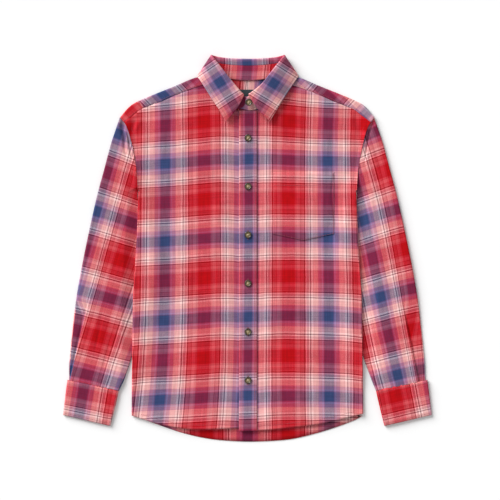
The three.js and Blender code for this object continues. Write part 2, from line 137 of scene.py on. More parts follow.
# the shoulder's fold, row by row: across the front seam, then the fold, then the seam behind
YOKE = [
    dict(front=73, fold=(76.5, 345), back=73),
    dict(front=84, fold=(88, 343), back=84),
    dict(front=96, fold=(101, 341.8), back=96),
    dict(front=110, fold=(115, 337.4), back=110),
    dict(front=135, fold=(141, 326), back=133),
    dict(front=175, fold=(181, 310), back=171),
    dict(front=211, fold=(220.5, 293.2), back=207),
    dict(front=228, fold=(238, 281), back=224),
    dict(front=246.6, fold=(254.2, 261.9), back=239),
]
print("body", 2 * float(side(-300)), "mm wide,", 345 + 386, "mm from shoulder to tail")

# %% [markdown]
# Relief
#
# Cloth that has been worn, washed and laid out never lies quite flat. A cloth simulation
# could crumple it, but its folds fall where they like. Here the folds are placed one by one:
# each crease is a soft trough or ridge along a short line, with its own length, depth and
# width, and each seam gets the small puckers that its stitches pull into the cloth.

# %% Creases and puckers


def creases(x, y, table):
    """Height that a table of creases adds: rows of (x0, y0, x1, y1, height, half width)."""
    height = np.zeros_like(x)
    for x0, y0, x1, y1, high, wide in table:
        run = np.hypot(x1 - x0, y1 - y0)
        along = ((x - x0) * (x1 - x0) + (y - y0) * (y1 - y0)) / run**2
        off = ((x - x0) * (y1 - y0) - (y - y0) * (x1 - x0)) / run
        bend = off + 0.07 * run * np.sin(3.1 * along + 0.02 * x0)
        ends = rise(along, -0.25, 0.3) * (1 - rise(along, 0.7, 1.25))
        height += high * ends * np.exp(-((bend / wide) ** 2))
    return height


def ripple(s, seed):
    """An uneven wave along a seam, about -1 to 1, with no period that the eye finds."""
    wave = np.sin(s * 0.231 + seed) + 0.8 * np.sin(s * 0.353 + 2.3 * seed)
    wave = wave + 0.6 * np.sin(s * 0.587 + 4.1 * seed)
    return wave / 2.4


def pucker(distance, s, seed, high=0.45, reach=7):
    """Small creases across a seam, strongest at the stitches and gone a little way off."""
    return high * ripple(s, seed) * np.exp(-((distance / reach) ** 2))


def seam_dip(distance, deep=0.4, reach=2.2):
    """Cloth turns down into a seam."""
    return -deep * np.exp(-((distance / reach) ** 2))


CRUMPLE = 1.5
# folds on the body: the wearer's left is +x
BODY_CREASES = [
    (232, 236, 214, 150, -0.9, 7), (240, 225, 226, 165, 0.7, 6), (206, 250, 203, 190, -0.5, 9),
    (-236, 240, -222, 180, -0.7, 6), (-214, 226, -205, 140, 0.6, 10), (-196, 120, -140, 60, -0.7, 14),
    (200, 96, 150, 20, -0.7, 14), (-208, 60, -170, -60, 0.6, 16), (212, 40, 190, -90, 0.6, 15),
    (-120, 180, -95, 40, -0.5, 20), (-60, 120, -45, -60, 0.5, 18), (120, 10, 140, -140, -0.6, 20),
    (70, -40, 52, -190, 0.5, 16), (-150, -60, -120, -230, -0.6, 20), (-80, -180, -110, -300, 0.6, 16),
    (180, -120, 150, -280, -0.6, 18), (90, -220, 120, -330, 0.5, 14), (-200, -180, -190, -310, 0.5, 12),
    (205, -200, 214, -310, 0.5, 10), (-40, -260, -60, -350, -0.5, 12), (50, -280, 40, -352, 0.5, 11),
    (96, 262, 60, 190, -0.5, 16), (-110, 268, -70, 190, -0.5, 16), (150, 280, 165, 200, 0.5, 14),
    (-160, 280, -170, 190, 0.5, 14), (30, 240, 34, 150, -0.4, 9), (-36, 240, -38, 130, -0.4, 10),
    (167, 156, 172, 138, 0.9, 2.4), (176.5, 152, 176, 40, -0.8, 1.8), (218, 262, 226, 226, -1.2, 4),
    (208, 258, 212, 228, 0.9, 4), (236, 250, 230, 222, 0.8, 4), (-214, 262, -222, 232, 0.8, 4),
    (-226, 258, -230, 226, -0.9, 4),
]


def lift(x, y, run=LIFT_RUN):
    """Height of what lies under the body: the table, or the tucked edge of a sleeve."""
    inner = tuck(y) - 5
    return FOLD_LIFT * rise(np.abs(x), inner - run, inner)


def body_top(x, y):
    """Outer height of the fronts over the table."""
    middle = MIDDLE_LOFT * (1 - rise(np.abs(x), 110, 205))
    waves = 0.35 * np.sin(0.021 * x + 0.013 * y + 1.1) + 0.3 * np.sin(0.034 * y - 0.017 * x)
    return lift(x, y, 2.6 * LIFT_RUN) + BODY_LOFT + middle + 0.8 * rise(-y, 290, 345) + waves


def relief(x, y):
    """Folds of the body, fading out at its side folds."""
    inside = 1 - rise(np.abs(x), side(y) - 9, side(y))
    at_arm = rise(y, UNDERARM_Y, UNDERARM_Y + 10)
    return CRUMPLE * creases(x, y, BODY_CREASES) * np.maximum(inside, at_arm)


# %% [markdown]
# Cloth from a grid of points
#
# Blender's Solidify modifier can give a sheet its thickness. Here the wall is made in the
# mesh itself, from two layers of points and a rim, because then the hem, the wrap round a
# side fold and the tube of a sleeve all come from one function. Every point also carries
# its place in the woven cloth as a UV coordinate, in metres, so the plaid follows each
# piece as it was cut.

# %% Grid to wall


def grid_normals(points, ring):
    """Unit normals of a grid of points, from its neighbours along rows and columns."""
    along = np.empty_like(points)
    along[1:-1] = points[2:] - points[:-2]
    along[0] = points[1] - points[0]
    along[-1] = points[-1] - points[-2]
    across = np.empty_like(points)
    across[:, 1:-1] = points[:, 2:] - points[:, :-2]
    if ring:
        across[:, 0] = points[:, 1] - points[:, -1]
        across[:, -1] = points[:, 0] - points[:, -2]
    else:
        across[:, 0] = points[:, 1] - points[:, 0]
        across[:, -1] = points[:, -1] - points[:, -2]
    normal = np.cross(across, along)
    return normal / np.maximum(np.linalg.norm(normal, axis=2, keepdims=True), 1e-9)


def wall_faces(keep, ring):
    """Faces of a wall: its outer cells, its inner cells, and a rim at each open edge."""
    rows, cells = keep.shape
    wide = cells if ring else cells + 1
    layer = (rows + 1) * wide
    j, i = np.nonzero(keep)
    right = (i + 1) % wide
    corner = [j * wide + i, j * wide + right, (j + 1) * wide + right, (j + 1) * wide + i]
    faces = [np.stack(corner, 1), np.stack([c + layer for c in corner[::-1]], 1)]
    padded = np.pad(keep, 1)
    if ring:
        padded[:, 0], padded[:, -1] = padded[:, -2], padded[:, 1]
    neighbours = [padded[:-2, 1:-1], padded[1:-1, 2:], padded[2:, 1:-1], padded[1:-1, :-2]]
    for k, beside in enumerate(neighbours):
        edge = ~beside[j, i]
        a, b = corner[k][edge], corner[(k + 1) % 4][edge]
        faces.append(np.stack([a + layer, b + layer, b, a], 1))
    return np.concatenate(faces)


def add_mesh(name, points, faces, material, weave=None):
    """A smooth mesh object from points in millimetres, with its weave coordinates as UVs."""
    mesh = bpy.data.meshes.new(name)
    mesh.from_pydata(points * MM, [], faces)
    mesh.validate()
    if weave is not None:
        layer = mesh.uv_layers.new(name="cloth")
        corners = np.empty(len(mesh.loops), int)
        mesh.loops.foreach_get("vertex_index", corners)
        layer.data.foreach_set("uv", (weave[corners] * MM).ravel())
    mesh.shade_smooth()
    mesh.materials.append(material)
    piece = bpy.data.objects.new(name, mesh)
    bpy.context.collection.objects.link(piece)
    return piece


def cloth(name, outer, weave, thick, material, ring=False, keep=None):
    """A wall of cloth whose outer face is a grid of points, rows by columns."""
    inner = outer - thick * grid_normals(outer, ring)
    # where a turned edge twists, its inner face would dip through the table
    inner[..., 2] = np.abs(inner[..., 2])
    rows, wide = outer.shape[:2]
    if keep is None:
        keep = np.ones((rows - 1, wide if ring else wide - 1), bool)
    faces = wall_faces(keep, ring)
    points = np.concatenate([outer.reshape(-1, 3), inner.reshape(-1, 3)])
    weaves = np.concatenate([weave.reshape(-1, 2)] * 2)
    used, faces = np.unique(faces, return_inverse=True)
    faces = faces.reshape(-1, 4)
    points, weaves = points[used], weaves[used]
    a, b, c, d = (points[faces[:, k]] for k in range(4))
    volume = np.einsum("ij,ij->", a, np.cross(b, c)) + np.einsum("ij,ij->", a, np.cross(c, d))
    if volume < 0:
        faces = faces[:, ::-1]
    piece = add_mesh(name, points, faces, material, weaves)
    print(f"{name}: {len(faces)} faces, {abs(volume) / 6 / 1000:.0f} cm3")
    return piece


def cut_piece(piece, area=None, solid=None):
    """Declares a cut piece of cloth: attaches it to its body, hides the solid it stands for and prints its area."""
    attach(piece, "root")
    if solid:
        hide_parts(solid)
    if area:
        print(piece.name, "cut", round(area, 4), "m2")


def area_of(grid, keep=None):
    """One-sided area of a grid of points, in square metres."""
    a, b, c, d = grid[:-1, :-1], grid[:-1, 1:], grid[1:, 1:], grid[1:, :-1]
    cells = np.linalg.norm(np.cross(c - a, d - b), axis=2) / 2
    return float(cells.sum() if keep is None else cells[keep].sum()) * MM * MM


# %% [markdown]
# Brushed cotton flannel
#
# The fabric is a twill of dyed yarns, brushed until its threads lose their edges. What the
# eye gets from that: soft, chalky colour, no gloss, a faint diagonal and a pale fuzz where
# the light grazes it. A plaid has one order of coloured threads, its sett, used both for
# the warp that runs along the piece and for the weft across it. Where they cross, the eye
# mixes the two threads. So the material looks up the sett twice, once along each
# direction, and mixes the two colours evenly. An image of the plaid would be simpler,
# but threads that are looked up stay sharp from any distance.

# %% Colours and nodes


def linear(hex_colour):
    """The linear colour of an sRGB hex value such as "#B50419"."""
    channels = [int(hex_colour[k:k + 2], 16) / 255 for k in (1, 3, 5)]
    return tuple(c / 12.92 if c <= 0.04045 else ((c + 0.055) / 1.055) ** 2.4 for c in channels) + (1,)


def coded(hex_colour):
    """The same value left as it is coded, for colours that are mixed before they are decoded."""
    return tuple(int(hex_colour[k:k + 2], 16) / 255 for k in (1, 3, 5)) + (1,)


def node(tree, kind, settings=None, inputs=None):
    """Adds a node, sets its properties, and sets or links each input by name or number."""
    made = tree.nodes.new(kind)
    for key, value in (settings or {}).items():
        setattr(made, key, value)
    for key, value in (inputs or {}).items():
        socket = made.inputs[key]
        if isinstance(value, bpy.types.NodeSocket):
            tree.links.new(value, socket)
        else:
            socket.default_value = value
    return made


def new_material(name):
    material = bpy.data.materials.new(name)
    material.use_nodes = True
    material.node_tree.nodes.clear()
    return material, material.node_tree


# %% The plaid's sett
RED = "#A80112"
CLEAR_RED = "#B9333B"
WARM_RED = "#C74D53"
PINK = "#C95C61"
DEEP_RED = "#AB232C"
MAROON = "#520308"
ROSE = "#F0999D"
DUSK = "#A66468"
GREY_PINK = "#C58689"
SLATE = "#5A4448"
CREAM = "#ECC5C1"
SALMON = "#D69A98"
PLUM = "#BE7585"
MAUVE = "#9A6681"
LILAC = "#8F7298"
INK = "#6C4D73"
BLUE = "#344167"
# from the middle of the blue band to the middle of the red one, in millimetres
SETT = [
    (9.4, BLUE), (1.8, INK), (3.3, LILAC), (6.4, MAUVE), (1.3, PLUM), (10.2, SALMON), (3.4, CREAM),
    (0.8, GREY_PINK), (1.5, SLATE), (0.7, GREY_PINK), (1.8, CREAM), (0.8, GREY_PINK), (1.0, DUSK),
    (1.6, GREY_PINK), (1.2, DUSK), (2.2, ROSE), (1.0, CLEAR_RED), (1.4, MAROON), (1.3, DEEP_RED),
    (0.7, PINK), (1.4, DEEP_RED), (0.7, PINK), (1.4, DEEP_RED), (0.7, PINK), (2.2, DEEP_RED),
    (6.8, WARM_RED), (4.0, CLEAR_RED), (12.8, RED),
]
SETT_HALF = sum(width for width, _ in SETT)
WARP_HALF = 81.8  # half the repeat across the cloth
WEFT_HALF = 78.8  # and along it
THREAD_MM = 1.5  # real threads are 0.4 mm apart, coarsened so that the twill shows
YARN_MM = 2.6  # a streak is a few yarns wide, so that it shows
SLUB_MM = 70
print("half sett", round(SETT_HALF, 1), "mm in", len(SETT), "bands")


def sett_colours(tree, place, half):
    """The coded colour of the thread at a place, in metres from a blue band's middle."""
    folded = node(tree, "ShaderNodeMath", {"operation": "PINGPONG"}, {0: place, 1: half * MM})
    share = node(tree, "ShaderNodeMath", {"operation": "DIVIDE"}, {0: folded.outputs[0], 1: half * MM})
    ramp = node(tree, "ShaderNodeValToRGB", inputs={0: share.outputs[0]})
    stops = ramp.color_ramp.elements
    ramp.color_ramp.interpolation = "CONSTANT"
    edge = 0.0
    for k, (width, colour) in enumerate(SETT):
        stop = stops[k] if k < 2 else stops.new(edge / SETT_HALF)
        stop.position = edge / SETT_HALF
        stop.color = coded(colour)
        edge += width
    return ramp.outputs["Color"]


# %% Flannel material


def flannel_material(name):
    material, tree = new_material(name)
    uv = node(tree, "ShaderNodeUVMap", {"uv_map": "cloth"}).outputs["UV"]
    waver = node(tree, "ShaderNodeTexNoise", inputs={"Vector": uv, "Scale": 38, "Detail": 2})
    centred = node(tree, "ShaderNodeVectorMath", {"operation": "SUBTRACT"}, {0: waver.outputs["Color"], 1: (0.5, 0.5, 0.5)})
    shift = node(tree, "ShaderNodeVectorMath", {"operation": "SCALE"}, {0: centred.outputs[0], "Scale": 1.6 * MM})
    place = node(tree, "ShaderNodeVectorMath", {"operation": "ADD"}, {0: uv, 1: shift.outputs[0]})
    axes = node(tree, "ShaderNodeSeparateXYZ", inputs={0: place.outputs[0]})
    warp = sett_colours(tree, axes.outputs["X"], WARP_HALF)
    weft = sett_colours(tree, axes.outputs["Y"], WEFT_HALF)
    # no yarn is spun or dyed quite evenly, so each shows as a faint streak along its run
    streaks = []
    for yarn in ((1 / YARN_MM, 1 / SLUB_MM, 0), (1 / SLUB_MM, 1 / YARN_MM, 0)):
        run = node(tree, "ShaderNodeVectorMath", {"operation": "MULTIPLY"}, {0: uv, 1: tuple(k / MM for k in yarn)})
        noise = node(tree, "ShaderNodeTexNoise", inputs={"Vector": run.outputs[0], "Scale": 1, "Detail": 1})
        streaks.append(node(tree, "ShaderNodeMapRange", inputs={0: noise.outputs["Fac"], 1: 0.3, 2: 0.7, 3: 0.9, 4: 1.1}))
    yarns = node(tree, "ShaderNodeMath", {"operation": "MULTIPLY"}, {0: streaks[0].outputs[0], 1: streaks[1].outputs[0]})
    # twill: warp and weft take turns along a diagonal
    diagonal = node(tree, "ShaderNodeMath", {"operation": "ADD"}, {0: axes.outputs["X"], 1: axes.outputs["Y"]})
    turns = node(tree, "ShaderNodeMath", {"operation": "MULTIPLY"}, {0: diagonal.outputs[0], 1: 2 * math.pi / (THREAD_MM * MM)})
    wave = node(tree, "ShaderNodeMath", {"operation": "SINE"}, {0: turns.outputs[0]})
    share = node(tree, "ShaderNodeMath", {"operation": "MULTIPLY_ADD"}, {0: wave.outputs[0], 1: 0.2, 2: 0.5})
    mixed = node(tree, "ShaderNodeMix", {"data_type": "RGBA"}, {0: share.outputs[0], 6: warp, 7: weft})
    colour = node(tree, "ShaderNodeGamma", inputs={"Color": mixed.outputs[2], "Gamma": 2.2})
    # the brushed nap: fine pale fibres over soft clouds
    fibres = node(tree, "ShaderNodeTexNoise", inputs={"Vector": uv, "Scale": 900, "Detail": 3, "Roughness": 0.7})
    clouds = node(tree, "ShaderNodeTexNoise", inputs={"Vector": uv, "Scale": 70, "Detail": 3})
    nap = node(tree, "ShaderNodeMapRange", inputs={0: fibres.outputs["Fac"], 1: 0.3, 2: 0.7, 3: 0.86, 4: 1.12})
    cloud = node(tree, "ShaderNodeMapRange", inputs={0: clouds.outputs["Fac"], 1: 0.3, 2: 0.7, 3: 0.94, 4: 1.05})
    both = node(tree, "ShaderNodeMath", {"operation": "MULTIPLY"}, {0: nap.outputs[0], 1: cloud.outputs[0]})
    tone = node(tree, "ShaderNodeMath", {"operation": "MULTIPLY"}, {0: both.outputs[0], 1: yarns.outputs[0]})
    worn = node(tree, "ShaderNodeMix", {"data_type": "RGBA", "blend_type": "MULTIPLY"}, {0: 1.0, 6: colour.outputs[0], 7: tone.outputs[0]})
    height = node(tree, "ShaderNodeMath", {"operation": "MULTIPLY_ADD"}, {0: wave.outputs[0], 1: 0.35, 2: fibres.outputs["Fac"]})
    bump = node(tree, "ShaderNodeBump", inputs={"Height": height.outputs[0], "Strength": 0.5, "Distance": 0.25 * MM})
    shader = node(tree, "ShaderNodeBsdfPrincipled", inputs={
        "Base Color": worn.outputs[2], "Roughness": 0.92, "IOR": 1.45, "Specular IOR Level": 0.12,
        "Sheen Weight": 0.07, "Sheen Roughness": 0.5, "Sheen Tint": (1, 0.96, 0.94, 1), "Normal": bump.outputs[0],
    })
    node(tree, "ShaderNodeOutputMaterial", inputs={"Surface": shader.outputs[0]})
    return material


FLANNEL = flannel_material("brushed cotton flannel twill")

# %% [markdown]
# How the plaid lies on each piece
#
# On a body that was cut with care the warp runs straight down the front, and the weft
# sags a little towards the sides, where the cloth hangs from the shoulders. The sleeves
# are cut on their own grain and lie at an angle, so each has a chart: a few thread
# crossings whose place on the table and in the sett are both known. The least-squares
# surface through them gives every other point.

# %% Charts of the plaid
# For each weft line, numbered by half repeats, the warp lines that cross it, numbered by
# quarter repeats: (warp line, x, y). Even weft lines are blue, odd ones red. Warp line 0
# is blue, 2 is red, and 1 is the pale group between them.
CHART = {
    "front_left": {
        1: [(2, 83, 254), (3, 123, 251), (4, 161, 250), (5, 199, 248), (6, 240, 247)],
        0: [(1, 42, 178), (2, 82, 177), (3, 122, 175), (4, 160, 174), (5, 199, 174)],
        -1: [(1, 42, 100), (2, 82, 100), (3, 122, 99), (4, 161, 99), (5, 199, 98)],
        -2: [(1, 42, 22), (2, 82, 23), (3, 122, 22), (4, 162, 22), (5, 201, 21)],
        -3: [(1, 42, -56), (2, 82, -55), (3, 123, -56), (4, 162, -56), (5, 202, -58)],
        -4: [(1, 41, -135), (2, 82, -134), (3, 123, -135), (4, 163, -136), (5, 203, -138)],
        -5: [(1, 41, -215), (2, 82, -214), (3, 123, -215), (4, 163, -216), (5, 204, -218)],
        -6: [(1, 41, -296), (2, 82, -295), (3, 123, -295), (4, 164, -296), (5, 204, -298)],
    },
    "front_right": {
        2: [(-3, -126, 324)],
        1: [(-6, -245, 238), (-5, -203, 242), (-4, -164, 245), (-3, -126, 249), (-2, -87, 253)],
        0: [(-5, -204, 167), (-4, -164, 169), (-3, -125, 172), (-2, -86, 176), (-1, -46, 178)],
        -1: [(-5, -204, 90), (-4, -164, 92), (-3, -125, 95), (-2, -86, 98), (-1, -46, 100)],
        -2: [(-5, -204, 12), (-4, -165, 14), (-3, -125, 17), (-2, -86, 20), (-1, -46, 22)],
        -3: [(-5, -205, -66), (-4, -165, -64), (-3, -126, -62), (-2, -86, -59), (-1, -46, -57)],
        -4: [(-5, -207, -146), (-4, -167, -144), (-3, -126, -141), (-2, -86, -138), (-1, -46, -136)],
        -5: [(-5, -211, -225), (-4, -169, -223), (-3, -129, -221), (-2, -88, -218), (-1, -47, -216)],
        -6: [(-5, -217, -305), (-4, -175, -302), (-3, -133, -301), (-2, -92, -298), (-1, -50, -296)],
    },
    "sleeve_left": {
        2: [(2, 268, 238)],
        1: [(0, 215, 132), (1, 251, 146), (2, 289, 160)],
        0: [(0, 233, 56), (1, 269, 69), (2, 305, 80)],
        -1: [(0, 250, -20), (1, 285, -9), (2, 317, 0)],
        -2: [(-1, 230, -108), (0, 266, -97), (1, 300, -87)],
        -3: [(-1, 245, -184), (0, 282, -174), (1, 314, -166)],
        -4: [(-1, 263, -262), (0, 300, -252), (1, 329, -245)],
    },
    "sleeve_right": {
        0: [(0, -259, 229)],
        -1: [(0, -280, 152), (1, -247, 140)],
        -2: [(0, -301, 74), (1, -268, 64), (2, -229, 51)],
        -3: [(0, -323, -3), (1, -289, -13), (2, -253, -23)],
        -4: [(1, -311, -89), (2, -275, -99), (3, -231, -111)],
        -5: [(1, -334, -166), (2, -297, -175), (3, -257, -186)],
        -6: [(1, -360, -242), (2, -320, -252), (3, -281, -262)],
    },
}
# Small pieces lie flat on one straight grain: a point, its place in the warp and weft
# setts, and how each of the two changes with x and with y.
GRAIN = {
    "cuff_left": ((313, -309), (96.4, 60.2), (1.015, 0.202), (-0.243, 1.017)),
    "cuff_right": ((-313, -309), (18.8, 61.3), (0.997, -0.175), (0.231, 1.111)),
    "placket": ((1, -50), (-1.2, 86.6), (1.25, -0.006), (-0.027, 1.002)),
    "leaf_left": ((58, 322), (-2.6, -8.7), (0.567, 0.951), (-0.925, 0.626)),
    "leaf_right": ((-56, 322), (7, -5.5), (0.591, -0.946), (0.905, 0.554)),
    "stand": ((0, 350), (1.1, 62.3), (1.052, -0.1), (-0.006, 0.975)),
    "stand_front": ((-10, 288), (14, 10), (0.7, 0), (1.0, 0.2)),
    # the stand's under end takes the dark plum crossing of blue and red as painted shade, for the deep shadow under the
    # left leaf
    "stand_under_painted_shade": ((-10, 288), (4, 76), (0.3, 0), (0, 0.3)),
    "leaf_back": ((0, 370), (0.8, 7), (1.101, 0.044), (0, 0.6)),
    "lining": ((0, 327), (38, 34), (-1.2, 0), (-0.9, 0.1)),
    "yoke_left": ((175, 302), (92, 8), (0.788, -0.709), (0.709, 0.788)),
    "yoke_right": ((-175, 302), (-2.4, -9.3), (0.376, -0.392), (0.815, 0.764)),
}


def terms(x, y, degree):
    """Every product of powers of x and y up to a degree."""
    powers = [(p, q) for p in range(degree + 1) for q in range(degree + 1 - p)]
    return np.stack([(x / 100) ** p * (y / 100) ** q for p, q in powers], -1)


def charted(name, degree):
    """The smooth map from a place on the table to a place in the cloth."""
    rows = [(i, j, x, y) for j, line in CHART[name].items() for i, x, y in line]
    i, j, x, y = np.array(rows, float).T
    known = np.stack([i * WARP_HALF / 2, j * WEFT_HALF], -1)
    weights = np.linalg.lstsq(terms(x, y, degree), known, rcond=None)[0]
    error = np.abs(terms(x, y, degree) @ weights - known).max()
    print(f"{name}: {len(rows)} crossings, met within {error:.1f} mm")
    return lambda x, y: terms(x, y, degree) @ weights


WEAVE = {name: charted(name, 4 if "front" in name else 3) for name in CHART}


def grain(name, x, y):
    """Place in the cloth on a piece with one straight grain."""
    centre, at, warp, weft = GRAIN[name]
    dx, dy = x - centre[0], y - centre[1]
    return np.stack([at[0] + warp[0] * dx + warp[1] * dy, at[1] + weft[0] * dx + weft[1] * dy], -1)


def body_weave(x, y):
    """Place in the cloth on the back, which matches the fronts at the side seams."""
    return np.stack([x, y - 177 + 0.03 * np.abs(x)], -1)


# %% [markdown]
# The two fronts
#
# Each front is one piece from its centre edge to its side. It lies over the back, turns
# round the side fold and meets the back at the side seam underneath. It could be a flat
# panel with a bevel, but the turned edge is what casts the thin shadow and catches the
# light all down the side, so the grid runs over the fold and back under.

# %% Fronts


def front_edge(y):
    return np.where(y <= UNDERARM_Y, side(y), armhole(y) + GAP)


def side_seam(y):
    return side(y) - SIDE_RETURN + 27 * rise(y, 62, UNDERARM_Y) + 18 * rise(-y, 230, 331)


def front_grid(centre, hem, hand):
    """Outer points and weave of a front, built on the +x side at first."""
    sign = 1 if hand == "left" else -1
    hem_y = float(hem(231.0))
    folded = np.linspace(hem_y, UNDERARM_Y, 150)
    over_arm = np.linspace(UNDERARM_Y + 3, 252.5, 46)
    levels = np.concatenate([folded, over_arm])
    u = np.concatenate([np.linspace(0, 0.9, 76), np.linspace(0.91, 1, 14)])
    at_edge = front_edge(levels)
    v = np.clip((levels - hem(at_edge)) / (front_top(at_edge) - hem(at_edge)), 0, 1)[:, None]
    y = np.repeat(levels[:, None], len(u), 1)
    for _ in range(14):
        x = mix(centre, front_edge(y), u[None, :])
        y = mix(hem(x), front_top(x), v)
    tucked = (np.arange(len(levels)) < len(folded))[:, None]
    x = np.where(tucked, np.minimum(x, side(y) - BODY_LOFT / 2), x)
    z = front_height(x * sign, y, hand)
    arm_gap = np.where(tucked, 99, armhole(y) - x)
    top_gap = np.where(x > 72, front_top(x) - y, 99)
    z += 0.7 * np.exp(-((arm_gap / 6) ** 2)) + pucker(arm_gap, y, 1.7)
    z += seam_dip(top_gap, 0.1) + pucker(top_gap, x, 2.9, 0.3)
    flat = np.stack([x, y, z], -1)
    # round the side fold and back along the table
    y_side, high = y[:, -1], z[:, -1]
    low = lift(side(y_side), y_side)
    radius = (high - low) / 2
    fold_x = side(y_side) - radius
    columns = []
    for turn in np.linspace(0, math.pi, 9)[1:]:
        columns.append([fold_x + radius * math.sin(turn), y_side, low + radius * (1 + math.cos(turn))])
    for share in np.linspace(0, 1, 9)[1:]:
        under = mix(fold_x, side_seam(y_side) + 2 * GAP, share)
        columns.append([under, y_side, lift(under, y_side)])
    wrap = np.stack([np.stack(column, -1) for column in columns], 1)
    outer = np.concatenate([flat, wrap], 1)
    # the weave runs on round the fold by the length of cloth that it takes
    weave = WEAVE[f"front_{hand}"](outer[..., 0] * sign, outer[..., 1])
    steps = np.linalg.norm(np.diff(outer[:, len(u) - 1:], axis=1), axis=2)
    weave[:, len(u):, 0] = weave[:, len(u) - 1, 0][:, None] + sign * np.cumsum(steps, 1)
    weave[:, len(u):, 1] = weave[:, len(u) - 1, 1][:, None]
    outer[..., 0] *= sign
    keep = np.ones((len(levels) - 1, outer.shape[1] - 1), bool)
    keep[len(folded) - 1:, len(u) - 1:] = False
    if hand == "right":
        return outer[:, ::-1], weave[:, ::-1], keep[:, ::-1]
    return outer, weave, keep


PLACKET = dict(left=-16.8, right=19.2, top=275.6)
UNDER_EDGE = -15
POCKET = dict(left=50.4, right=173.6, top=152, corner=28, point=13)
POCKET_MIDDLE = (POCKET["left"] + POCKET["right"]) / 2


def front_height(x, y, hand):
    """Outer height of a front, with its folds and what its placket and pocket press in."""
    z = body_top(x, y) + relief(x, y)
    if hand == "right":
        return z - 2.3 * (1 - rise(np.abs(x), 18, 46))
    z -= 0.5 * (1 - rise(x, 20, 45)) + 1.5 * np.exp(-(((x - PLACKET["right"] - 1.2) / 1.9) ** 2))
    z += pucker(x - PLACKET["right"] - 1, y, 0.4, 0.35, 8)
    beside = np.abs(x - POCKET_MIDDLE) - (POCKET["right"] - POCKET_MIDDLE)
    pocket_off = np.maximum(beside, np.maximum(y - POCKET["top"], POCKET["corner"] - 6 - y))
    return z + pucker(np.maximum(pocket_off, 0), x + 1.3 * y, 3.3, 0.3, 7)


left_outer, left_weave, left_keep = front_grid(PLACKET["left"], front_hem_left, "left")
front_left = cloth("front_left_cloth", left_outer, left_weave, PLY, FLANNEL, keep=left_keep)
right_outer, right_weave, right_keep = front_grid(UNDER_EDGE, front_hem_right, "right")
front_right = cloth("front_right_cloth", right_outer, right_weave, PLY, FLANNEL, keep=right_keep)
for piece, solid, grid, keep in (
    (front_left, "front_left", left_outer, left_keep),
    (front_right, "front_right", right_outer, right_keep),
):
    cut_piece(piece, area_of(grid, keep), solid)

# %% [markdown]
# The back
#
# The back lies face down under the fronts. Only its tail shows, below the front hem, but
# the shirt is looked at from every side, so the whole panel is there: it rests on the
# table in the middle and climbs over the tucked edges of the sleeves.

# %% Back


def back_grid():
    """Outer points of the back, which faces down, and its weave."""
    levels = np.concatenate([np.linspace(-339, UNDERARM_Y, 110), np.linspace(UNDERARM_Y + 2, YOKE_SEAM_Y - 1, 26)])
    shares = np.linspace(-1, 1, 131)
    low = levels <= UNDERARM_Y

    def edge(y):
        at_side = side_seam(y)
        at_arm = armhole(np.maximum(y, UNDERARM_Y + 1)) - GAP
        return np.where(low[:, None], at_side, at_arm)

    at_edge = edge(levels[:, None])
    v = np.clip((levels[:, None] - back_hem(at_edge)) / (YOKE_SEAM_Y - back_hem(at_edge)), 0, 1)
    v[0] = 0
    y = np.repeat(levels[:, None], len(shares), 1)
    for _ in range(14):
        # the left corner of the tail spreads out to the side fold
        spread = (side(y) - 1 - edge(y)) * rise(-y, 327, 331.5) * (shares > 0)
        x = shares * (edge(y) + spread)
        y = mix(back_hem(x), YOKE_SEAM_Y, v)
    outer = np.stack([x, y, lift(x, y)], -1)
    return outer[:, ::-1], body_weave(x, y)[:, ::-1]


back_outer, back_weave_at = back_grid()
back = cloth("back_cloth", back_outer, back_weave_at, PLY, FLANNEL)
cut_piece(back, area_of(back_outer), "back")

# %% [markdown]
# The yoke
#
# A yoke is the piece over the shoulders. It is cut double and folds over the top of the
# body: a strip in front, the shoulder, and a panel behind. Its stripes run across the
# shoulders, so its plaid is turned a quarter turn from the fronts' plaid.

# %% Yoke
SEAM_LAP = 0.9  # the yoke's edge laps over the fronts


def yoke_grid():
    """Outer points of the yoke from one shoulder round to the other, and its weave."""
    key = np.arange(len(YOKE))
    place = np.linspace(0, len(YOKE) - 1, 75)
    front_x, back_x = (smooth(list(zip(key, [row[name] for row in YOKE])))(place) for name in ("front", "back"))
    fold_x, fold_y = (smooth(list(zip(key, [row["fold"][k] for row in YOKE])))(place) for k in (0, 1))
    front_y = front_top(front_x) - SEAM_LAP
    high = body_top(front_x, front_y) + SEAM_LAP / 2
    run = np.hypot(fold_x - front_x, fold_y - front_y)
    out = np.stack([(fold_x - front_x) / run, (fold_y - front_y) / run], -1)
    front = np.stack([front_x, front_y], -1)
    start = np.stack([fold_x, fold_y], -1) - out * high[:, None] / 2
    columns = []
    for t in np.linspace(0, 1, 12):
        flat = mix(front, start, t)
        dip = 0.2 * np.exp(-((run * t / 2.4) ** 2)) + 0.25 * ripple(place * 22, 5.0) * (1 - t)
        columns.append(np.column_stack([flat, high - dip]))
    for turn in np.linspace(0, math.pi, 9)[1:]:
        flat = start + out * (high / 2 * math.sin(turn))[:, None]
        columns.append(np.column_stack([flat, high / 2 * (1 + math.cos(turn))]))
    for t in np.linspace(0, 1, 30)[1:]:
        y = mix(start[:, 1], YOKE_SEAM_Y + GAP, t)
        x = np.minimum(mix(start[:, 0], back_x, t), armhole(y) - GAP / 2)
        columns.append(np.column_stack([x, y, 0 * y]))
    shoulder = np.stack(columns, 1)
    neck_x = np.linspace(0, 70, 24)
    neck_y = smooth([(0, 336), (40, 339), (60, 341.5), (76.5, 344)])(neck_x)
    hidden = np.repeat(np.column_stack([neck_x, neck_y, 0 * neck_x])[:, None], 20, 1)
    behind = [np.column_stack([neck_x, mix(neck_y, YOKE_SEAM_Y + GAP, t), 0 * neck_x]) for t in np.linspace(0, 1, 30)[1:]]
    neck = np.concatenate([hidden, np.stack(behind, 1)], 1)
    right = np.concatenate([neck, shoulder])
    left = right[:0:-1] * [-1, 1, 1]
    return np.concatenate([left, right])[::-1], len(neck)


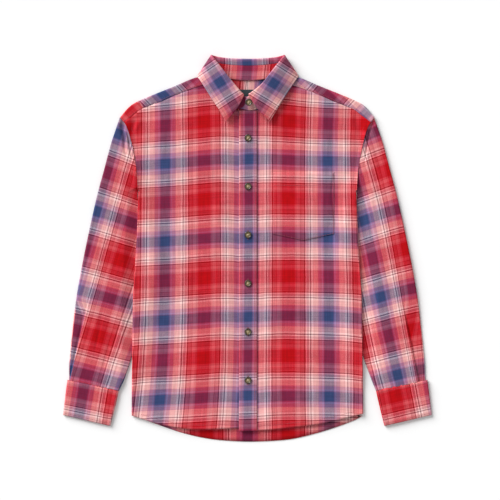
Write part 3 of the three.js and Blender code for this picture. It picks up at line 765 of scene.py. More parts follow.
STRIPE_STEP = 52  # from one warp stripe to the next that shows, past the shoulder's corner
SHOULDER_CORNER = 74  # x + y there, on the wearer's right


def yoke_weave(outer):
    """The yoke's grain lies askew in front, where it folds over the sloping shoulder."""
    x, y = outer[..., 0], outer[..., 1]
    right = grain("yoke_right", x, y)
    # past the shoulder's corner another stripe of the warp comes over the fold
    right[..., 0] -= STRIPE_STEP * (x + y < SHOULDER_CORNER)
    return np.where((x > 0)[..., None], grain("yoke_left", x, y), right)


yoke_outer, neck_rows = yoke_grid()
rows_in_yoke, columns_in_yoke = yoke_outer.shape[:2]
middle = (rows_in_yoke - 1) / 2
row, column = np.meshgrid(np.arange(rows_in_yoke - 1), np.arange(columns_in_yoke - 1), indexing="ij")
yoke_keep = ~((np.abs(row + 0.5 - middle) < neck_rows) & (column < 19))
yoke = cloth("yoke_cloth", yoke_outer, yoke_weave(yoke_outer), PLY, FLANNEL, keep=yoke_keep)
cut_piece(yoke, area_of(yoke_outer, yoke_keep), "yoke")

# %% [markdown]
# Sleeves
#
# A sleeve is one piece of cloth closed into a tube, which lies pressed flat: over the top,
# round the inner fold, back along the table and round the outer fold. Its wide end is
# eased into the armhole and its narrow end is pleated into the cuff, so one long fold
# runs up from each cuff. The tube is a closed ring of points for each section.

# %% Sleeve table
TUCKED_LOFT = 2.5
PLEAT_STEP = 3.4
# how far the sleeve stays low beside the body, and its slope up from there
TRENCH = {"left": (11, 0.24), "right": (3, 0.26)}
# outer edge, inner edge, height, how far the pleat is open
SLEEVE = [
    (254.9, 261.7, 218.4, 114, 6.4, 0), (264.5, 232, 218.9, 98, 6.9, 0), (273, 206, 213.5, 74, 6.8, 0),
    (286, 155, 207, 50, 7.2, 0), (300, 102, 200.5, 10, 7.6, 0), (315, 35, 199, -40, 7.8, 0),
    (330, -40, 206, -95, 7.8, 0), (342, -106, 215, -150, 7.4, 0.3), (350.5, -169, 226.5, -208, 7, 0.9),
    (355.7, -227, 241, -250, 7.6, 1), (357.2, -264, 256.8, -284, 6.8, 1),
]
CUFF = [
    (359.2, -262.6, 256.9, -282.6, 7.6, 0), (364, -299, 265.4, -320, 6.8, 0), (368.4, -332.5, 273.7, -354.4, 6.2, 0),
]
# share from the outer edge, at the pleat's start and at the cuff
PLEAT_AT = {"left": (0.25, 0.155), "right": (0.19, 0.03)}
PLEAT_RUN = {"left": (6.6, 8.3), "right": (6.8, 7.4)}  # rows of the table between which it opens
OUTER_STRIPE = {"left": 119, "right": -6}  # place in the sett of the sleeve's outer edge, outside the pleat
# creases on a sleeve: share down, share across, at start and end, height, half width as a share
SLEEVE_CREASES = {
    "left": [
        (0.012, 0.02, 0.085, 0.42, -3.2, 0.07), (0.05, 0.3, 0.14, 0.42, 0.8, 0.06), (0.02, 0.6, 0.12, 0.66, -0.8, 0.04),
        (0.2, 0.3, 0.42, 0.24, -0.5, 0.05), (0.3, 0.7, 0.55, 0.6, 0.5, 0.06), (0.5, 0.35, 0.72, 0.42, -0.5, 0.05),
        (0.75, 0.7, 0.97, 0.78, -0.6, 0.035), (0.62, 0.55, 0.9, 0.5, 0.4, 0.05),
    ],
    "right": [
        (0.0, -0.02, 0.11, 0.26, -4.4, 0.07), (0.005, 0.05, 0.06, 0.46, -2.8, 0.07),
        (-0.02, 0.04, 0.08, 0.33, 1.2, 0.04), (0.04, 0.6, 0.14, 0.66, -0.7, 0.04),
        (0.22, 0.35, 0.44, 0.28, -0.5, 0.05), (0.34, 0.66, 0.58, 0.56, 0.5, 0.06), (0.52, 0.3, 0.72, 0.36, -0.4, 0.05),
        (0.7, 0.42, 0.84, 0.4, -0.9, 0.03), (0.78, 0.6, 0.9, 0.58, -0.8, 0.03), (0.86, 0.8, 0.98, 0.84, -0.6, 0.03),
    ],
}

# %% Sleeve


PLEAT_FROM = 7  # row of the sleeve table where the pleat starts
PLEAT_ROWS = 3  # rows from there to the cuff


def pleat_line(pleat_at, place):
    """Where the pleat lies across the sleeve, at a row of the sleeve table."""
    return mix(*pleat_at, np.clip((place - PLEAT_FROM) / PLEAT_ROWS, 0, 1))


def tube(table, rows, shares, pleat_at, bow, relief_at, trench=(7, 0.19)):
    """Rings of points down a laid tube: its top from outer to inner edge, then round and back."""
    place = np.linspace(0, len(table) - 1, rows)
    columns = [smooth(list(zip(range(len(table)), column)))(place)[:, None] for column in np.array(table).T]
    out_x, out_y, in_x, in_y, loft, pleat = columns
    down = np.linspace(0, 1, rows)[:, None]
    width = np.hypot(out_x - in_x, out_y - in_y)
    bend = bow * (1 - rise(place, 0, 3))[:, None]

    def on_table(share):
        arm_y = mix(ARMHOLE_TOP_Y, UNDERARM_Y, np.clip(share, 0, 1))
        bulge = armhole(arm_y) - mix(254.6, 217.9, np.clip(share, 0, 1))
        return mix(out_x, in_x, share) + bend * bulge, mix(out_y, in_y, share)

    def top(share):
        x, y = on_table(share)
        beside = x - side(y) - trench[0] + 2 * np.maximum(0, y - UNDERARM_Y)
        high = np.minimum(loft, TUCKED_LOFT + trench[1] * np.maximum(0, beside))
        open_by = pleat_line(pleat_at, place[:, None])
        high = high - PLEAT_STEP * pleat * (1 - rise(share, open_by - 0.006, open_by))
        high = high - 1.2 * pleat * np.exp(-(((share - open_by + 0.022) / 0.018) ** 2))
        free = rise(beside, 0, 14) * rise(share, 0, 0.06) * rise(1 - share, 0, 0.06)
        return high + relief_at(share, down) * free

    def ring_part(share, z):
        x, y = on_table(share)
        return np.stack([x + 0 * z, y + 0 * z, z + 0 * x], -1)

    turns = np.linspace(0, math.pi, 10)[1:-1]
    first, last = shares[0], shares[-1]
    high_in, high_out = top(last + 0 * down), top(first + 0 * down)
    inner = ring_part(last + high_in * np.sin(turns) / 2 / width, high_in * (1 + np.cos(turns)) / 2)
    outer = ring_part(first - high_out * np.sin(turns) / 2 / width, high_out * (1 + np.cos(turns)) / 2)[:, ::-1]
    under = np.linspace(last, first, 30) + 0 * down
    parts = [ring_part(shares + 0 * down, top(shares + 0 * down)), inner, ring_part(under, 0 * under), outer]
    return np.concatenate(parts, 1), len(shares), place


def sleeve(hand):
    sign = 1 if hand == "left" else -1
    a, b = PLEAT_AT[hand]
    shares = np.unique(np.concatenate([np.linspace(0.03, 0.97, 84), np.linspace(b - 0.012, a + 0.008, 40)]))

    def folds(share, down):
        height = 0 * (share + down)
        for d0, s0, d1, s1, high, wide in SLEEVE_CREASES[hand]:
            along = (down - d0) / (d1 - d0)
            across = (share - mix(s0, s1, along)) / wide
            height += high * rise(along, -0.2, 0.35) * (1 - rise(along, 0.65, 1.2)) * np.exp(-across**2)
        head = 0.45 * ripple(share * 130, 2.2 if sign > 0 else 6.1) * np.exp(-((down / 0.03) ** 2))
        at_cuff = 0.6 * ripple(share * 150, 1.1 * sign) * np.exp(-(((1 - down) / 0.035) ** 2))
        waves = 0.35 * np.sin(11 * down + 5 * share + sign) + 0.25 * np.sin(23 * down - 9 * share)
        return height + head + at_cuff + waves

    outer, on_top, place = tube(SLEEVE, 170, shares, (a, b), 1, folds, TRENCH[hand])
    weave = WEAVE[f"sleeve_{hand}"](sign * outer[..., 0], outer[..., 1])
    u = weave[..., 0]
    # outside the pleat the cloth starts again, a pleat's depth further on
    width = np.hypot(*(outer[:, 0, :2] - outer[:, on_top - 1, :2]).T)[:, None]
    opened = rise(place, *PLEAT_RUN[hand])[:, None]
    beyond = OUTER_STRIPE[hand] - sign * shares * width
    outside = shares < pleat_line((a, b), place)[:, None] - 0.003
    u[:, :on_top] = np.where(outside, mix(u[:, :on_top], beyond, opened), u[:, :on_top])
    # past the outer fold the cloth goes on under the sleeve
    edge_u = u[:, :1]
    u[:, on_top:] = 2 * edge_u - u[:, on_top:]
    outer[..., 0] *= sign
    if sign < 0:
        outer, weave = outer[:, ::-1], weave[:, ::-1]
    return cloth(f"sleeve_{hand}_cloth", outer, weave, PLY, FLANNEL, ring=True), outer


def ring_area(outer):
    return area_of(np.concatenate([outer, outer[:, :1]], 1))


for hand in ("left", "right"):
    piece, outer = sleeve(hand)
    cut_piece(piece, ring_area(outer), f"sleeve_{hand}")

# %% Cuffs


def cuff(hand):
    sign = 1 if hand == "left" else -1
    shares = np.linspace(0.03, 0.97, 60)

    def edges(share, down):
        hem = seam_dip(np.minimum(down, 1 - down) * 70, 0.7, 3)
        quilted = pucker(np.abs(np.minimum(down, 1 - down) * 70 - 5), share * 100, 2.0, 0.3, 4)
        return hem + quilted + 0.3 * np.sin(7 * share + 3 * down)

    outer, on_top, _ = tube(CUFF, 30, shares, (0.1, 0.1), 0, edges)
    weave = grain(f"cuff_{hand}", sign * outer[..., 0], outer[..., 1])
    weave[:, on_top:, 0] = 2 * weave[:, :1, 0] - weave[:, on_top:, 0]
    outer[..., 0] *= sign
    if sign < 0:
        outer, weave = outer[:, ::-1], weave[:, ::-1]
    return cloth(f"cuff_{hand}_cloth", outer, weave, BAND, FLANNEL, ring=True), outer


cuff_tops = []
for hand in ("left", "right"):
    piece, outer = cuff(hand)
    cuff_tops.append(outer if hand == "left" else outer[:, ::-1])
    cut_piece(piece, ring_area(outer), f"cuff_{hand}")

# %% [markdown]
# Placket and pocket
#
# Both are sewn flat on the upper front, so each is a thin wall that follows the front's
# surface a thread's width above it. Modelling them as part of the front would be less
# work, but their own edges catch the light and cast the thin line that the eye reads as
# a seam.

# %% Placket and pocket


def patch_top(x, y, edge_gap):
    """Outer height of a piece sewn on the upper front, drawn in where it is stitched."""
    on_placket = np.max(x) < 30
    sink = 0.4 if on_placket else 1.1
    z = front_height(np.minimum(x, PLACKET["right"] - 5) if on_placket else x, y, "left")
    # the pocket's left half is pressed flatter than its right
    run = 1.6 if on_placket else mix(3.8, 1.6, rise(x, 95, 130))
    z += GAP / 2 + PATCH + 0.3 - sink * np.exp(-((edge_gap / run) ** 2))
    return z + pucker(np.abs(edge_gap - 3), x + y, 1.2, 0.25, 5)


def patch(name, x, y, weave, edge_gap):
    """A flat piece sewn on the upper front, from a grid of places on it."""
    outer = np.stack([x, y, patch_top(x, y, edge_gap)], -1)
    return cloth(name, outer, weave, PATCH, FLANNEL)


u, v = np.meshgrid(np.linspace(0, 1, 22), np.linspace(0, 1, 300))
placket_x = mix(PLACKET["left"], PLACKET["right"], u)
placket_y = mix(front_hem_left(placket_x) - 0.4, PLACKET["top"], v)
placket_gap = np.minimum(placket_x - PLACKET["left"], PLACKET["right"] - placket_x)
placket = patch("placket_cloth", placket_x, placket_y, grain("placket", placket_x, placket_y), placket_gap)

u, v = np.meshgrid(np.linspace(0, 1, 70), np.linspace(0, 1, 70))
pocket_x = mix(POCKET["left"], POCKET["right"], u)
bottom = POCKET["corner"] - POCKET["point"] * (1 - np.abs(2 * u - 1))
pocket_y = mix(bottom, POCKET["top"], v)
pocket_gap = np.minimum(pocket_x - POCKET["left"], POCKET["right"] - pocket_x)
pocket_gap = np.minimum(pocket_gap, np.minimum(pocket_y - bottom, POCKET["top"] - pocket_y))
pocket = patch("pocket_cloth", pocket_x, pocket_y, WEAVE["front_left"](pocket_x, pocket_y), pocket_gap)
cut_piece(placket, solid="placket")
cut_piece(pocket, solid="pocket")

# %% [markdown]
# The collar
#
# A shirt collar is two pieces: the stand, a band round the neck, and the leaf, which is
# sewn to the stand's upper edge and folds down over it. Laid flat, the back of the collar
# opens up and shows the inside of the stand, and its front ends cross at the top button.
# A table of stations round half the neck gives three lines, the neck seam, the roll line
# and the leaf's free edge, and the other half mirrors them. The curve through each line
# is the same one that a bent ruler makes.

# %% Collar lines
NECK_X = 1
OVERLAP_LIFT = (2, 3, 3)  # of the three lines at the upper front end
ROLL_RADIUS = 2.6
COLLAR = [
    ((-15, 279.5, 5.4), (-8, 304, 7), None),
    ((7, 276, 6), (8, 304, 15.5), (44, 252.5, 13)),
    ((33, 285, 8.4), (26, 322.5, 18.4), (58, 277, 14.8)),
    ((54, 304, 8.9), (43, 343, 20), (72, 298.5, 14.8)),
    ((67, 325, 8.9), (58, 362, 20.8), (86, 320.5, 13)),
    ((73, 341, 8.6), (68, 375, 19.4), (96, 336, 11.6)),
    ((75, 349.5, 6), (72.6, 381.8, 12.6), (101.3, 344.5, 5.6)),
    ((69, 347, 2.7), (68.5, 381.5, 4.2), (94, 350.8, 0.4)),
    ((54, 342, 2.7), (54, 378.5, 2.7), (72, 354.8, 0)),
    ((28, 337.5, 2.7), (28, 376.2, 2.7), (38, 344.5, 0)),
    ((0, 335.5, 2.7), (0, 375.4, 2.7), (0, 340.5, 0)),
]


def collar_line(column):
    """Rows of one line right round the neck, keyed by station, upper end last."""
    half = [row[column] for row in COLLAR]
    keys, points = [], []
    last = len(half) - 1
    for k, point in enumerate(half):
        if point is not None:
            keys.append(k)
            points.append((NECK_X - point[0], point[1], point[2]))
    for k in range(last - 1, -1, -1):
        if half[k] is not None:
            raised = OVERLAP_LIFT[column] if k < 2 else 0
            keys.append(2 * last - k)
            nearer = 6 if k == 1 and column == 1 else 0
            points.append((NECK_X + half[k][0] - nearer, half[k][1], half[k][2] + raised))
    return [smooth(list(zip(keys, axis))) for axis in zip(*points)]


def collar_points(column, station):
    return np.stack([axis(station) for axis in collar_line(column)], -1)


# %% Collar stand
STATIONS = 2 * (len(COLLAR) - 1)
station = np.linspace(0, STATIONS, 260)


def leaf_seam(station):
    """How far up from the neck seam to the roll the leaf is sewn on: lower behind the neck."""
    from_front = np.minimum(station, STATIONS - station)
    return mix(0.97, 0.76, rise(from_front, 4, 7))


seam, roll = collar_points(0, station)[:, None], collar_points(1, station)[:, None]
up_stand = np.linspace(0, 1, 18)[None, :, None] * leaf_seam(station)[:, None, None]
stand_outer = mix(seam, roll, up_stand)
inside = grain("stand", stand_outer[..., 0], stand_outer[..., 1])
in_front = grain("stand_front", stand_outer[..., 0], stand_outer[..., 1])
# painted shade: the under end of the stand at the front gets the dark blue-by-red part of the sett, standing in for the
# shadow of the left leaf over it
under = grain("stand_under_painted_shade", stand_outer[..., 0], stand_outer[..., 1])
in_front = np.where(station[:, None, None] < STATIONS / 2, under, in_front)
stand_weave = np.where(stand_outer[..., 1:2] < 312, in_front, inside)
stand = cloth("collar_stand_cloth", stand_outer, stand_weave, BAND, FLANNEL)

# %% Collar leaf
BARE = 1  # stations at each front end without a leaf


def leaf_grid():
    """Outer points of the leaf: up from the stand, round the roll and down to its edge."""
    station = np.linspace(BARE, STATIONS - BARE, 300)
    seam, roll = collar_points(0, station), collar_points(1, station)
    ahead, behind = collar_points(1, station + 0.08), collar_points(1, station - 0.08)
    up = unit(roll - seam)
    out = unit(np.cross(up, unit(ahead - behind)))
    centre = roll + up * 4 * GAP + out * (LEAF + 0.2 + 3 * GAP - ROLL_RADIUS)
    edge = collar_points(2, station)
    columns = []
    for t in np.linspace(0, 0.94, 9):
        along = mix(leaf_seam(station) - 0.035, 1, t)[:, None]
        inside = mix(0.6, 0, t)
        columns.append(mix(seam, roll + up * 4 * GAP, along) + centre - roll - up * 4 * GAP - out * (ROLL_RADIUS - inside))
    for turn in np.linspace(-math.pi / 2, math.pi / 2, 12):
        columns.append(centre + out * ROLL_RADIUS * math.sin(turn) + up * ROLL_RADIUS * math.cos(turn))
    rolled = columns[-1]
    from_end = np.minimum(station - BARE, STATIONS - BARE - station)[:, None]
    forward = unit(behind - ahead) * np.where(station < STATIONS / 2, 1, -1)[:, None]
    for t in np.linspace(0, 1, 34)[1:]:
        bulge = 1.6 * math.sin(math.pi * t) * np.maximum(out[:, 2:], 0)
        belly = 3 * math.sin(math.pi * t) * np.exp(-((from_end / 0.3) ** 2))
        columns.append(mix(rolled, edge, t) + out * bulge + forward * belly)
    outer = np.stack(columns, 1)
    outer[..., 2] = np.maximum(outer[..., 2], 0)
    return outer


leaf_outer = leaf_grid()


def leaf_weave(outer):
    """Place in the cloth of the leaf, which has its own grain at each side of the neck."""
    x, y = outer[..., 0], outer[..., 1]
    weave = np.where((x > NECK_X)[..., None], grain("leaf_left", x, y), grain("leaf_right", x, y))
    weave[:, :14] = grain("leaf_back", x, y)[:, :14]
    return weave


leaf = cloth("collar_leaf_cloth", leaf_outer[:, ::-1], leaf_weave(leaf_outer)[:, ::-1], LEAF, FLANNEL)
cut_piece(stand, area_of(stand_outer), "collar_stand")
cut_piece(leaf, area_of(leaf_outer), "collar_leaf")

# %% [markdown]
# Inside the neck
#
# Through the open neck the eye meets the inner layer of the yoke and the label sewn on it.
# Both could be painted on the back, but each is a cloth of its own with its own edge, so
# each is a thin wall again. The label is a dense satin of fine polyester, so it shines a
# little along its ribs. It is left plain.

# %% Yoke lining and label
across, up = np.meshgrid(np.linspace(-62, 62, 70), np.linspace(0, 1, 60))
lining_y = mix(240, 337 + 0.0016 * across**2, up)
lining_z = 1.75 + 0.12 * ripple(across + 0.7 * lining_y, 2.0) + 0.35 * rise(up, 0.9, 1)
lining_outer = np.stack([across, lining_y, lining_z], -1)
lining = cloth("yoke_lining_cloth", lining_outer, grain("lining", across, lining_y), 0.6, FLANNEL)
cut_piece(lining, area_of(lining_outer))

RIB_MM = 0.8  # the real ribs are 0.2 mm apart, coarsened to show


def label_material(name):
    material, tree = new_material(name)
    uv = node(tree, "ShaderNodeUVMap", {"uv_map": "cloth"}).outputs["UV"]
    axes = node(tree, "ShaderNodeSeparateXYZ", inputs={0: uv})
    turns = node(tree, "ShaderNodeMath", {"operation": "MULTIPLY"}, {0: axes.outputs["Y"], 1: 2 * math.pi / (RIB_MM * MM)})
    ribs = node(tree, "ShaderNodeMath", {"operation": "SINE"}, {0: turns.outputs[0]})
    specks = node(tree, "ShaderNodeTexNoise", inputs={"Vector": uv, "Scale": 1400, "Detail": 2})
    shade = node(tree, "ShaderNodeMath", {"operation": "MULTIPLY_ADD"}, {0: ribs.outputs[0], 1: 0.25, 2: specks.outputs["Fac"]})
    colour = node(tree, "ShaderNodeMix", {"data_type": "RGBA"}, {
        0: shade.outputs[0], 6: linear("#182126"), 7: linear("#2F3B41"),
    })
    bump = node(tree, "ShaderNodeBump", inputs={"Height": shade.outputs[0], "Strength": 0.5, "Distance": 0.15 * MM})
    shader = node(tree, "ShaderNodeBsdfPrincipled", inputs={
        "Base Color": colour.outputs[2], "Roughness": 0.55, "IOR": 1.5, "Normal": bump.outputs[0],
    })
    node(tree, "ShaderNodeOutputMaterial", inputs={"Surface": shader.outputs[0]})
    return material


LABEL = dict(left=-27, right=29, low=287.6, high=317.6)
across, up = np.meshgrid(np.linspace(LABEL["left"], LABEL["right"], 60), np.linspace(LABEL["low"], LABEL["high"], 30))
fold = np.minimum(across - LABEL["left"], LABEL["right"] - across)
label_z = 2.45 + 0.2 * (1 - rise(fold, 4, 6)) - 0.15 * np.exp(-((fold / 0.8) ** 2)) + 0.05 * ripple(across + up, 3.0)
label_outer = np.stack([across, up, label_z], -1)
label = cloth("label_cloth", label_outer, label_outer[..., :2].copy(), 0.6, label_material("woven satin label"))
cut_piece(label, solid="label")

# %% [markdown]
# Buttons
#
# The buttons are cast polyester, mottled to look like horn: dark olive brown with a paler
# middle, and a polished skin that gives each one a small sharp highlight. A lathe turns
# the real blank, so the mesh is one profile turned round, and a Boolean modifier drills
# the four holes. They are round, so one mesh serves for all, turned a little each time.

# %% Button material


def horn_material(name):
    material, tree = new_material(name)
    place = node(tree, "ShaderNodeTexCoord").outputs["Object"]
    stretch = node(tree, "ShaderNodeMapping", inputs={"Vector": place, "Scale": (150, 420, 200)})
    streaks = node(tree, "ShaderNodeTexNoise", inputs={"Vector": stretch.outputs[0], "Scale": 1, "Detail": 3, "Distortion": 0.8})
    axes = node(tree, "ShaderNodeSeparateXYZ", inputs={0: place})
    flat = node(tree, "ShaderNodeCombineXYZ", inputs={"X": axes.outputs["X"], "Y": axes.outputs["Y"]})
    radius = node(tree, "ShaderNodeVectorMath", {"operation": "LENGTH"}, {0: flat.outputs[0]})
    middle = node(tree, "ShaderNodeMapRange", inputs={
        0: radius.outputs["Value"], 1: 2.2 * MM, 2: 5.6 * MM, 3: 0.24, 4: -0.12,
    })
    tone = node(tree, "ShaderNodeMath", {"operation": "ADD"}, {0: streaks.outputs["Fac"], 1: middle.outputs[0]})
    ramp = node(tree, "ShaderNodeValToRGB", inputs={0: tone.outputs[0]})
    stops = ramp.color_ramp.elements
    for k, (position, colour) in enumerate(((0.3, "#241C16"), (0.5, "#453824"), (0.66, "#6F5E3C"), (0.85, "#A08F66"))):
        stop = stops[k] if k < 2 else stops.new(position)
        stop.position = position
        stop.color = linear(colour)
    shader = node(tree, "ShaderNodeBsdfPrincipled", inputs={
        "Base Color": ramp.outputs["Color"], "Roughness": 0.28, "IOR": 1.55,
    })
    node(tree, "ShaderNodeOutputMaterial", inputs={"Surface": shader.outputs[0]})
    return material


# %% Button mesh
BUTTON_PROFILE = [
    (0, 0), (4.8, 0), (6.3, 0.4), (6.9, 1.0), (7.0, 1.6), (6.8, 2.2), (6.3, 2.55),
    (5.7, 2.6), (5.1, 2.4), (4.5, 2.0), (3.8, 1.8), (0, 1.75),
]
HOLE_AT = 1.45  # holes from the middle, along x and y
HOLE_RADIUS = 0.8


def turned(profile, segments):
    """A closed mesh from (radius, height) rows turned round the z axis."""
    ring = np.linspace(0, 2 * math.pi, segments, endpoint=False)
    rows = [(r * np.cos(ring), r * np.sin(ring), z + 0 * ring) for r, z in profile[1:-1]]
    points = np.concatenate([np.stack(row, 1) for row in rows] + [[(0, 0, profile[0][1]), (0, 0, profile[-1][1])]])
    foot, crown = len(points) - 2, len(points) - 1
    faces = []
    for k in range(segments):
        n = (k + 1) % segments
        faces.append((foot, n, k))
        for j in range(len(rows) - 1):
            a = j * segments
            faces.append((a + k, a + n, a + segments + n, a + segments + k))
        a = (len(rows) - 1) * segments
        faces.append((crown, a + k, a + n))
    return points, faces


def drilled(name, material):
    points, faces = turned(BUTTON_PROFILE, 48)
    blank = add_mesh(name, points, faces, material)
    drill_points, drill_faces = turned([(0, -1), (HOLE_RADIUS, -1), (HOLE_RADIUS, 4), (0, 4)], 16)
    corners = [(sx * HOLE_AT, sy * HOLE_AT, 0) for sx in (-1, 1) for sy in (-1, 1)]
    many = np.concatenate([drill_points + corner for corner in corners])
    shifted = [tuple(v + k * len(drill_points) for v in face) for k in range(4) for face in drill_faces]
    drills = add_mesh(name + "_drills", many, shifted, material)
    boolean = blank.modifiers.new("holes", "BOOLEAN")
    boolean.object = drills
    boolean.solver = "EXACT"
    shape = bpy.data.meshes.new_from_object(blank.evaluated_get(bpy.context.evaluated_depsgraph_get()))
    shape.shade_smooth()
    shape.set_sharp_from_angle(angle=math.radians(40))
    for spent in (blank, drills):
        bpy.data.objects.remove(spent)
    return shape


# %% Buttons and their thread
button_mesh = drilled("button", horn_material("horn-look polyester"))
print("button mesh:", len(button_mesh.polygons), "faces")
BUTTON_ROW = {f"button_{k + 1}": (1.2, 220.6 - 96.7 * k) for k in range(6)}
BUTTONS = {**BUTTON_ROW, "button_collar": (2.6, 291)}
SHANK = 0.3  # room between cloth and button


def button_seat(name, x, y):
    """Height of the cloth that a button sits on."""
    if name == "button_collar":
        near = np.hypot(stand_outer[..., 0] - x, stand_outer[..., 1] - y) < 5
        return float(stand_outer[..., 2][near].max())
    return float(patch_top(np.array([x]), np.array([y]), np.array([18.0]))[0])


thread_paths = []
for k, (name, (x, y)) in enumerate(BUTTONS.items()):
    base = button_seat(name, x, y) + SHANK
    made = bpy.data.objects.new(name + "_horn", button_mesh)
    made.location = (x * MM, y * MM, base * MM)
    made.rotation_euler[2] = 0.9 * k + 0.3
    bpy.context.collection.objects.link(made)
    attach(made, "root")
    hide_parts(name)
    turn = made.rotation_euler[2]
    for side_of in (-1, 1):
        for strand in (-0.25, 0.25):
            t = np.linspace(-1, 1, 9)
            along, over = HOLE_AT * t, side_of * HOLE_AT * t + strand
            high = base + 1.0 + 1.5 * np.sqrt(np.maximum(0, 1 - t**4)) + 0.2 * (side_of > 0)
            px = x + along * math.cos(turn) - over * math.sin(turn)
            py = y + along * math.sin(turn) + over * math.cos(turn)
            thread_paths.append(np.stack([px, py, high], -1))

# %% [markdown]
# Thread
#
# Every seam is held by a row of stitches, each a short bright ridge that sinks at both
# ends. A dashed line in the material would look flat from the side, so each stitch is a
# small eight-sided spindle, and all of them on a piece are one mesh. The thread is spun
# polyester, matt with a faint shine.

# %% Thread material and stitches


def thread_material(name, colour):
    material, tree = new_material(name)
    fuzz = node(tree, "ShaderNodeTexNoise", inputs={"Scale": 2500, "Detail": 2})
    tone = node(tree, "ShaderNodeMapRange", inputs={0: fuzz.outputs["Fac"], 3: 0.8, 4: 1.15})
    shade = node(tree, "ShaderNodeMix", {"data_type": "RGBA", "blend_type": "MULTIPLY"}, {
        0: 1.0, 6: linear(colour), 7: tone.outputs[0],
    })
    shader = node(tree, "ShaderNodeBsdfPrincipled", inputs={
        "Base Color": shade.outputs[2], "Roughness": 0.65, "IOR": 1.5, "Sheen Weight": 0.15,
    })
    node(tree, "ShaderNodeOutputMaterial", inputs={"Surface": shader.outputs[0]})
    return material


SEAM_THREAD = thread_material("spun polyester thread, dusty red", "#8E3742")
CREAM_THREAD = thread_material("spun polyester thread, cream", "#D8C9A6")


def spindles(name, starts, ends, radius, material):
    """One mesh of thin spindles, one for each pair of ends."""
    run = unit(ends - starts)
    aside = unit(np.cross(run, [0, 0, 1.0]) + [1e-6, 0, 0])
    rise_by = np.cross(aside, run)
    rings = []
    for t in (0.2, 0.8):
        centre = mix(starts, ends, t)
        rings += [centre + radius * (math.cos(a) * aside + math.sin(a) * rise_by) for a in (0, math.pi / 2, math.pi, 1.5 * math.pi)]
    points = np.stack([starts - 0.8 * radius * rise_by, ends - 0.8 * radius * rise_by] + rings, 1).reshape(-1, 3)
    points[:, 2] = np.maximum(points[:, 2], 0)  # nothing reaches under the table
    one = []
    for k in range(4):
        n = (k + 1) % 4
        one += [(0, 2 + k, 2 + n, 2 + n), (2 + k, 6 + k, 6 + n, 2 + n), (1, 6 + n, 6 + k, 6 + k)]
    faces = (np.array(one)[None] + 10 * np.arange(len(starts))[:, None, None]).reshape(-1, 4)
    clean = [tuple(dict.fromkeys(face)) for face in faces.tolist()]
    piece = add_mesh(name, points, clean, material)
    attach(piece, "root")
    print(f"{name}: {len(starts)} stitches")
    return piece


def stitches(name, paths, long=2.7, gap=0.8, radius=0.32, material=SEAM_THREAD):
    """Stitches along paths of points, each set down at its path's own length."""
    starts, ends = [], []
    for path in paths:
        length = np.concatenate([[0], np.cumsum(np.linalg.norm(np.diff(path, axis=0), axis=1))])
        first = np.arange(0, length[-1] - long, long + gap)
        for at, kept in ((first, starts), (first + long, ends)):
            kept.append(np.stack([np.interp(at, length, path[:, k]) for k in range(3)], -1))
    return spindles(name, np.concatenate(starts), np.concatenate(ends), radius, material)


# %% Seam stitches
lifted = np.array([0, 0, 0.12])


def on_patch(x, y, edge_gap):
    x, y = np.broadcast_arrays(x, y)
    return np.stack([x, y, patch_top(x, y, edge_gap + 0 * x)], -1) + lifted


down_placket = np.linspace(-352, 272, 320)
stitches("placket_stitches", [on_patch(PLACKET["left"] + 6, down_placket, 6), on_patch(PLACKET["right"] - 5, down_placket, 5)])

inset = 2.2
left_x, right_x = POCKET["left"] + inset, POCKET["right"] - inset
sides_y = np.linspace(POCKET["top"] - 1, POCKET["corner"] + 1, 60)
bottom_x = np.linspace(left_x, right_x, 60)
bottom_y = POCKET["corner"] + inset - POCKET["point"] * (1 - np.abs(2 * (bottom_x - left_x) / (right_x - left_x) - 1))
stitches("pocket_stitches", [
    on_patch(left_x, sides_y, inset), on_patch(bottom_x, bottom_y, inset), on_patch(right_x, sides_y[::-1], inset),
    on_patch(np.linspace(left_x, right_x, 60), POCKET["top"] - 26, 26),
])

HEM = 9
hem_paths, arm_paths = [], []
for sign, hand, hem in ((1, "left", front_hem_left), (-1, "right", front_hem_right)):
    x = np.linspace(20, 214, 120)
    y = hem(x) + HEM
    hem_paths.append(np.stack([sign * x, y, front_height(sign * x, y, hand)], -1) + lifted)
    y = np.linspace(UNDERARM_Y + 12, 244, 90)
    x = armhole(y) - 8
    arm_paths.append(np.stack([sign * x, y, front_height(sign * x, y, hand)], -1) + lifted)
stitches("hem_stitches", hem_paths)
stitches("armhole_stitches", arm_paths)

on_yoke = yoke_outer[np.abs(yoke_outer[:, 2, 0]) > 74, 2] + lifted
stitches("yoke_stitches", [on_yoke[on_yoke[:, 0] > 0], on_yoke[on_yoke[:, 0] < 0]])
stitches("cuff_stitches", [grid[row, :60] + lifted for grid in cuff_tops for row in (2, 27)])
stitches("collar_stitches", [
    leaf_outer[3:-3, -5] + lifted, leaf_outer[3, 23:-5] + lifted, leaf_outer[-4, 23:-5] + lifted,
    stand_outer[2:-2, 2] + lifted,
])

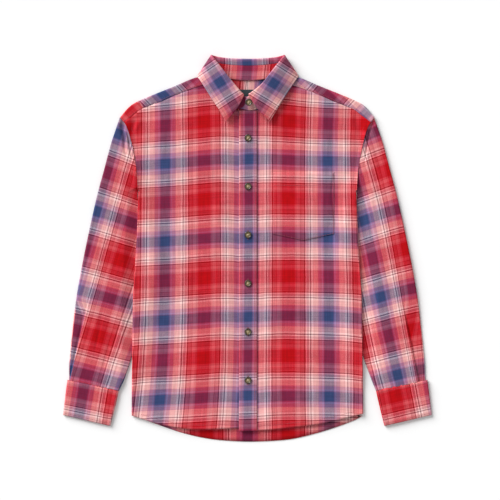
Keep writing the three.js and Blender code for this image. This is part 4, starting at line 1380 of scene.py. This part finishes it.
# buttonholes run up and down the placket under the buttons
hole_starts, hole_ends = [], []
for x, y in BUTTON_ROW.values():
    for up_y in np.arange(y - 9, y + 9.1, 0.75):
        for a, b in ((-1.6, -0.25), (0.25, 1.6)):
            z = float(patch_top(np.array([x]), np.array([up_y]), np.array([18.0]))[0]) + 0.12
            hole_starts.append((x + a, up_y, z))
            hole_ends.append((x + b, up_y, z))
spindles("buttonhole_stitches", np.array(hole_starts), np.array(hole_ends), 0.3, SEAM_THREAD)
stitches("button_threads", thread_paths, long=0.7, gap=0.0, radius=0.3, material=CREAM_THREAD)

# %% [markdown]
# Floor, light and camera
#
# The shirt was photographed from straight above on a white table. A long lens that looks
# straight down keeps the shirt's sides from leaning. One wide lamp at the upper left
# gives the short soft shadows to the right and below, and an even white surrounding
# fills them.

# %% Floor
floor_mesh = bpy.data.meshes.new("floor")
floor_mesh.from_pydata([(-12, -12, 0), (12, -12, 0), (12, 12, 0), (-12, 12, 0)], [], [(0, 1, 2, 3)])
floor = bpy.data.objects.new("floor", floor_mesh)
bpy.context.collection.objects.link(floor)
paper, tree = new_material("matt white studio paper")
fleck = node(tree, "ShaderNodeTexNoise", inputs={"Scale": 60, "Detail": 3})
tone = node(tree, "ShaderNodeMapRange", inputs={0: fleck.outputs["Fac"], 3: 0.81, 4: 0.83})
white = node(tree, "ShaderNodeBsdfPrincipled", inputs={"Base Color": tone.outputs[0], "Roughness": 0.9, "Specular IOR Level": 0.1})
node(tree, "ShaderNodeOutputMaterial", inputs={"Surface": white.outputs[0]})
floor_mesh.materials.append(paper)

# %% Light
world = bpy.data.worlds.new("studio")
bpy.context.scene.world = world
world.use_nodes = True
world.node_tree.nodes["Background"].inputs["Color"].default_value = (1, 1, 1, 1)
world.node_tree.nodes["Background"].inputs["Strength"].default_value = 0.57
lamp = bpy.data.lights.new("window", "SUN")
lamp.energy = 5.0
lamp.angle = math.radians(40)
window = bpy.data.objects.new("window", lamp)
window.rotation_euler = Vector((1, -1, -0.66)).to_track_quat("-Z", "Y").to_euler()
bpy.context.collection.objects.link(window)

# %% Camera
FIELD = 1.0  # metres across the picture at the table
LENS = 120
camera = bpy.data.objects.new("camera", bpy.data.cameras.new("camera"))
camera.data.lens = LENS
camera.data.sensor_width = 36
camera.data.clip_end = 20
camera.location = (0.0052, -0.003, FIELD * LENS / 36)
bpy.context.collection.objects.link(camera)
bpy.context.scene.camera = camera
bpy.context.scene.view_settings.view_transform = "Standard"
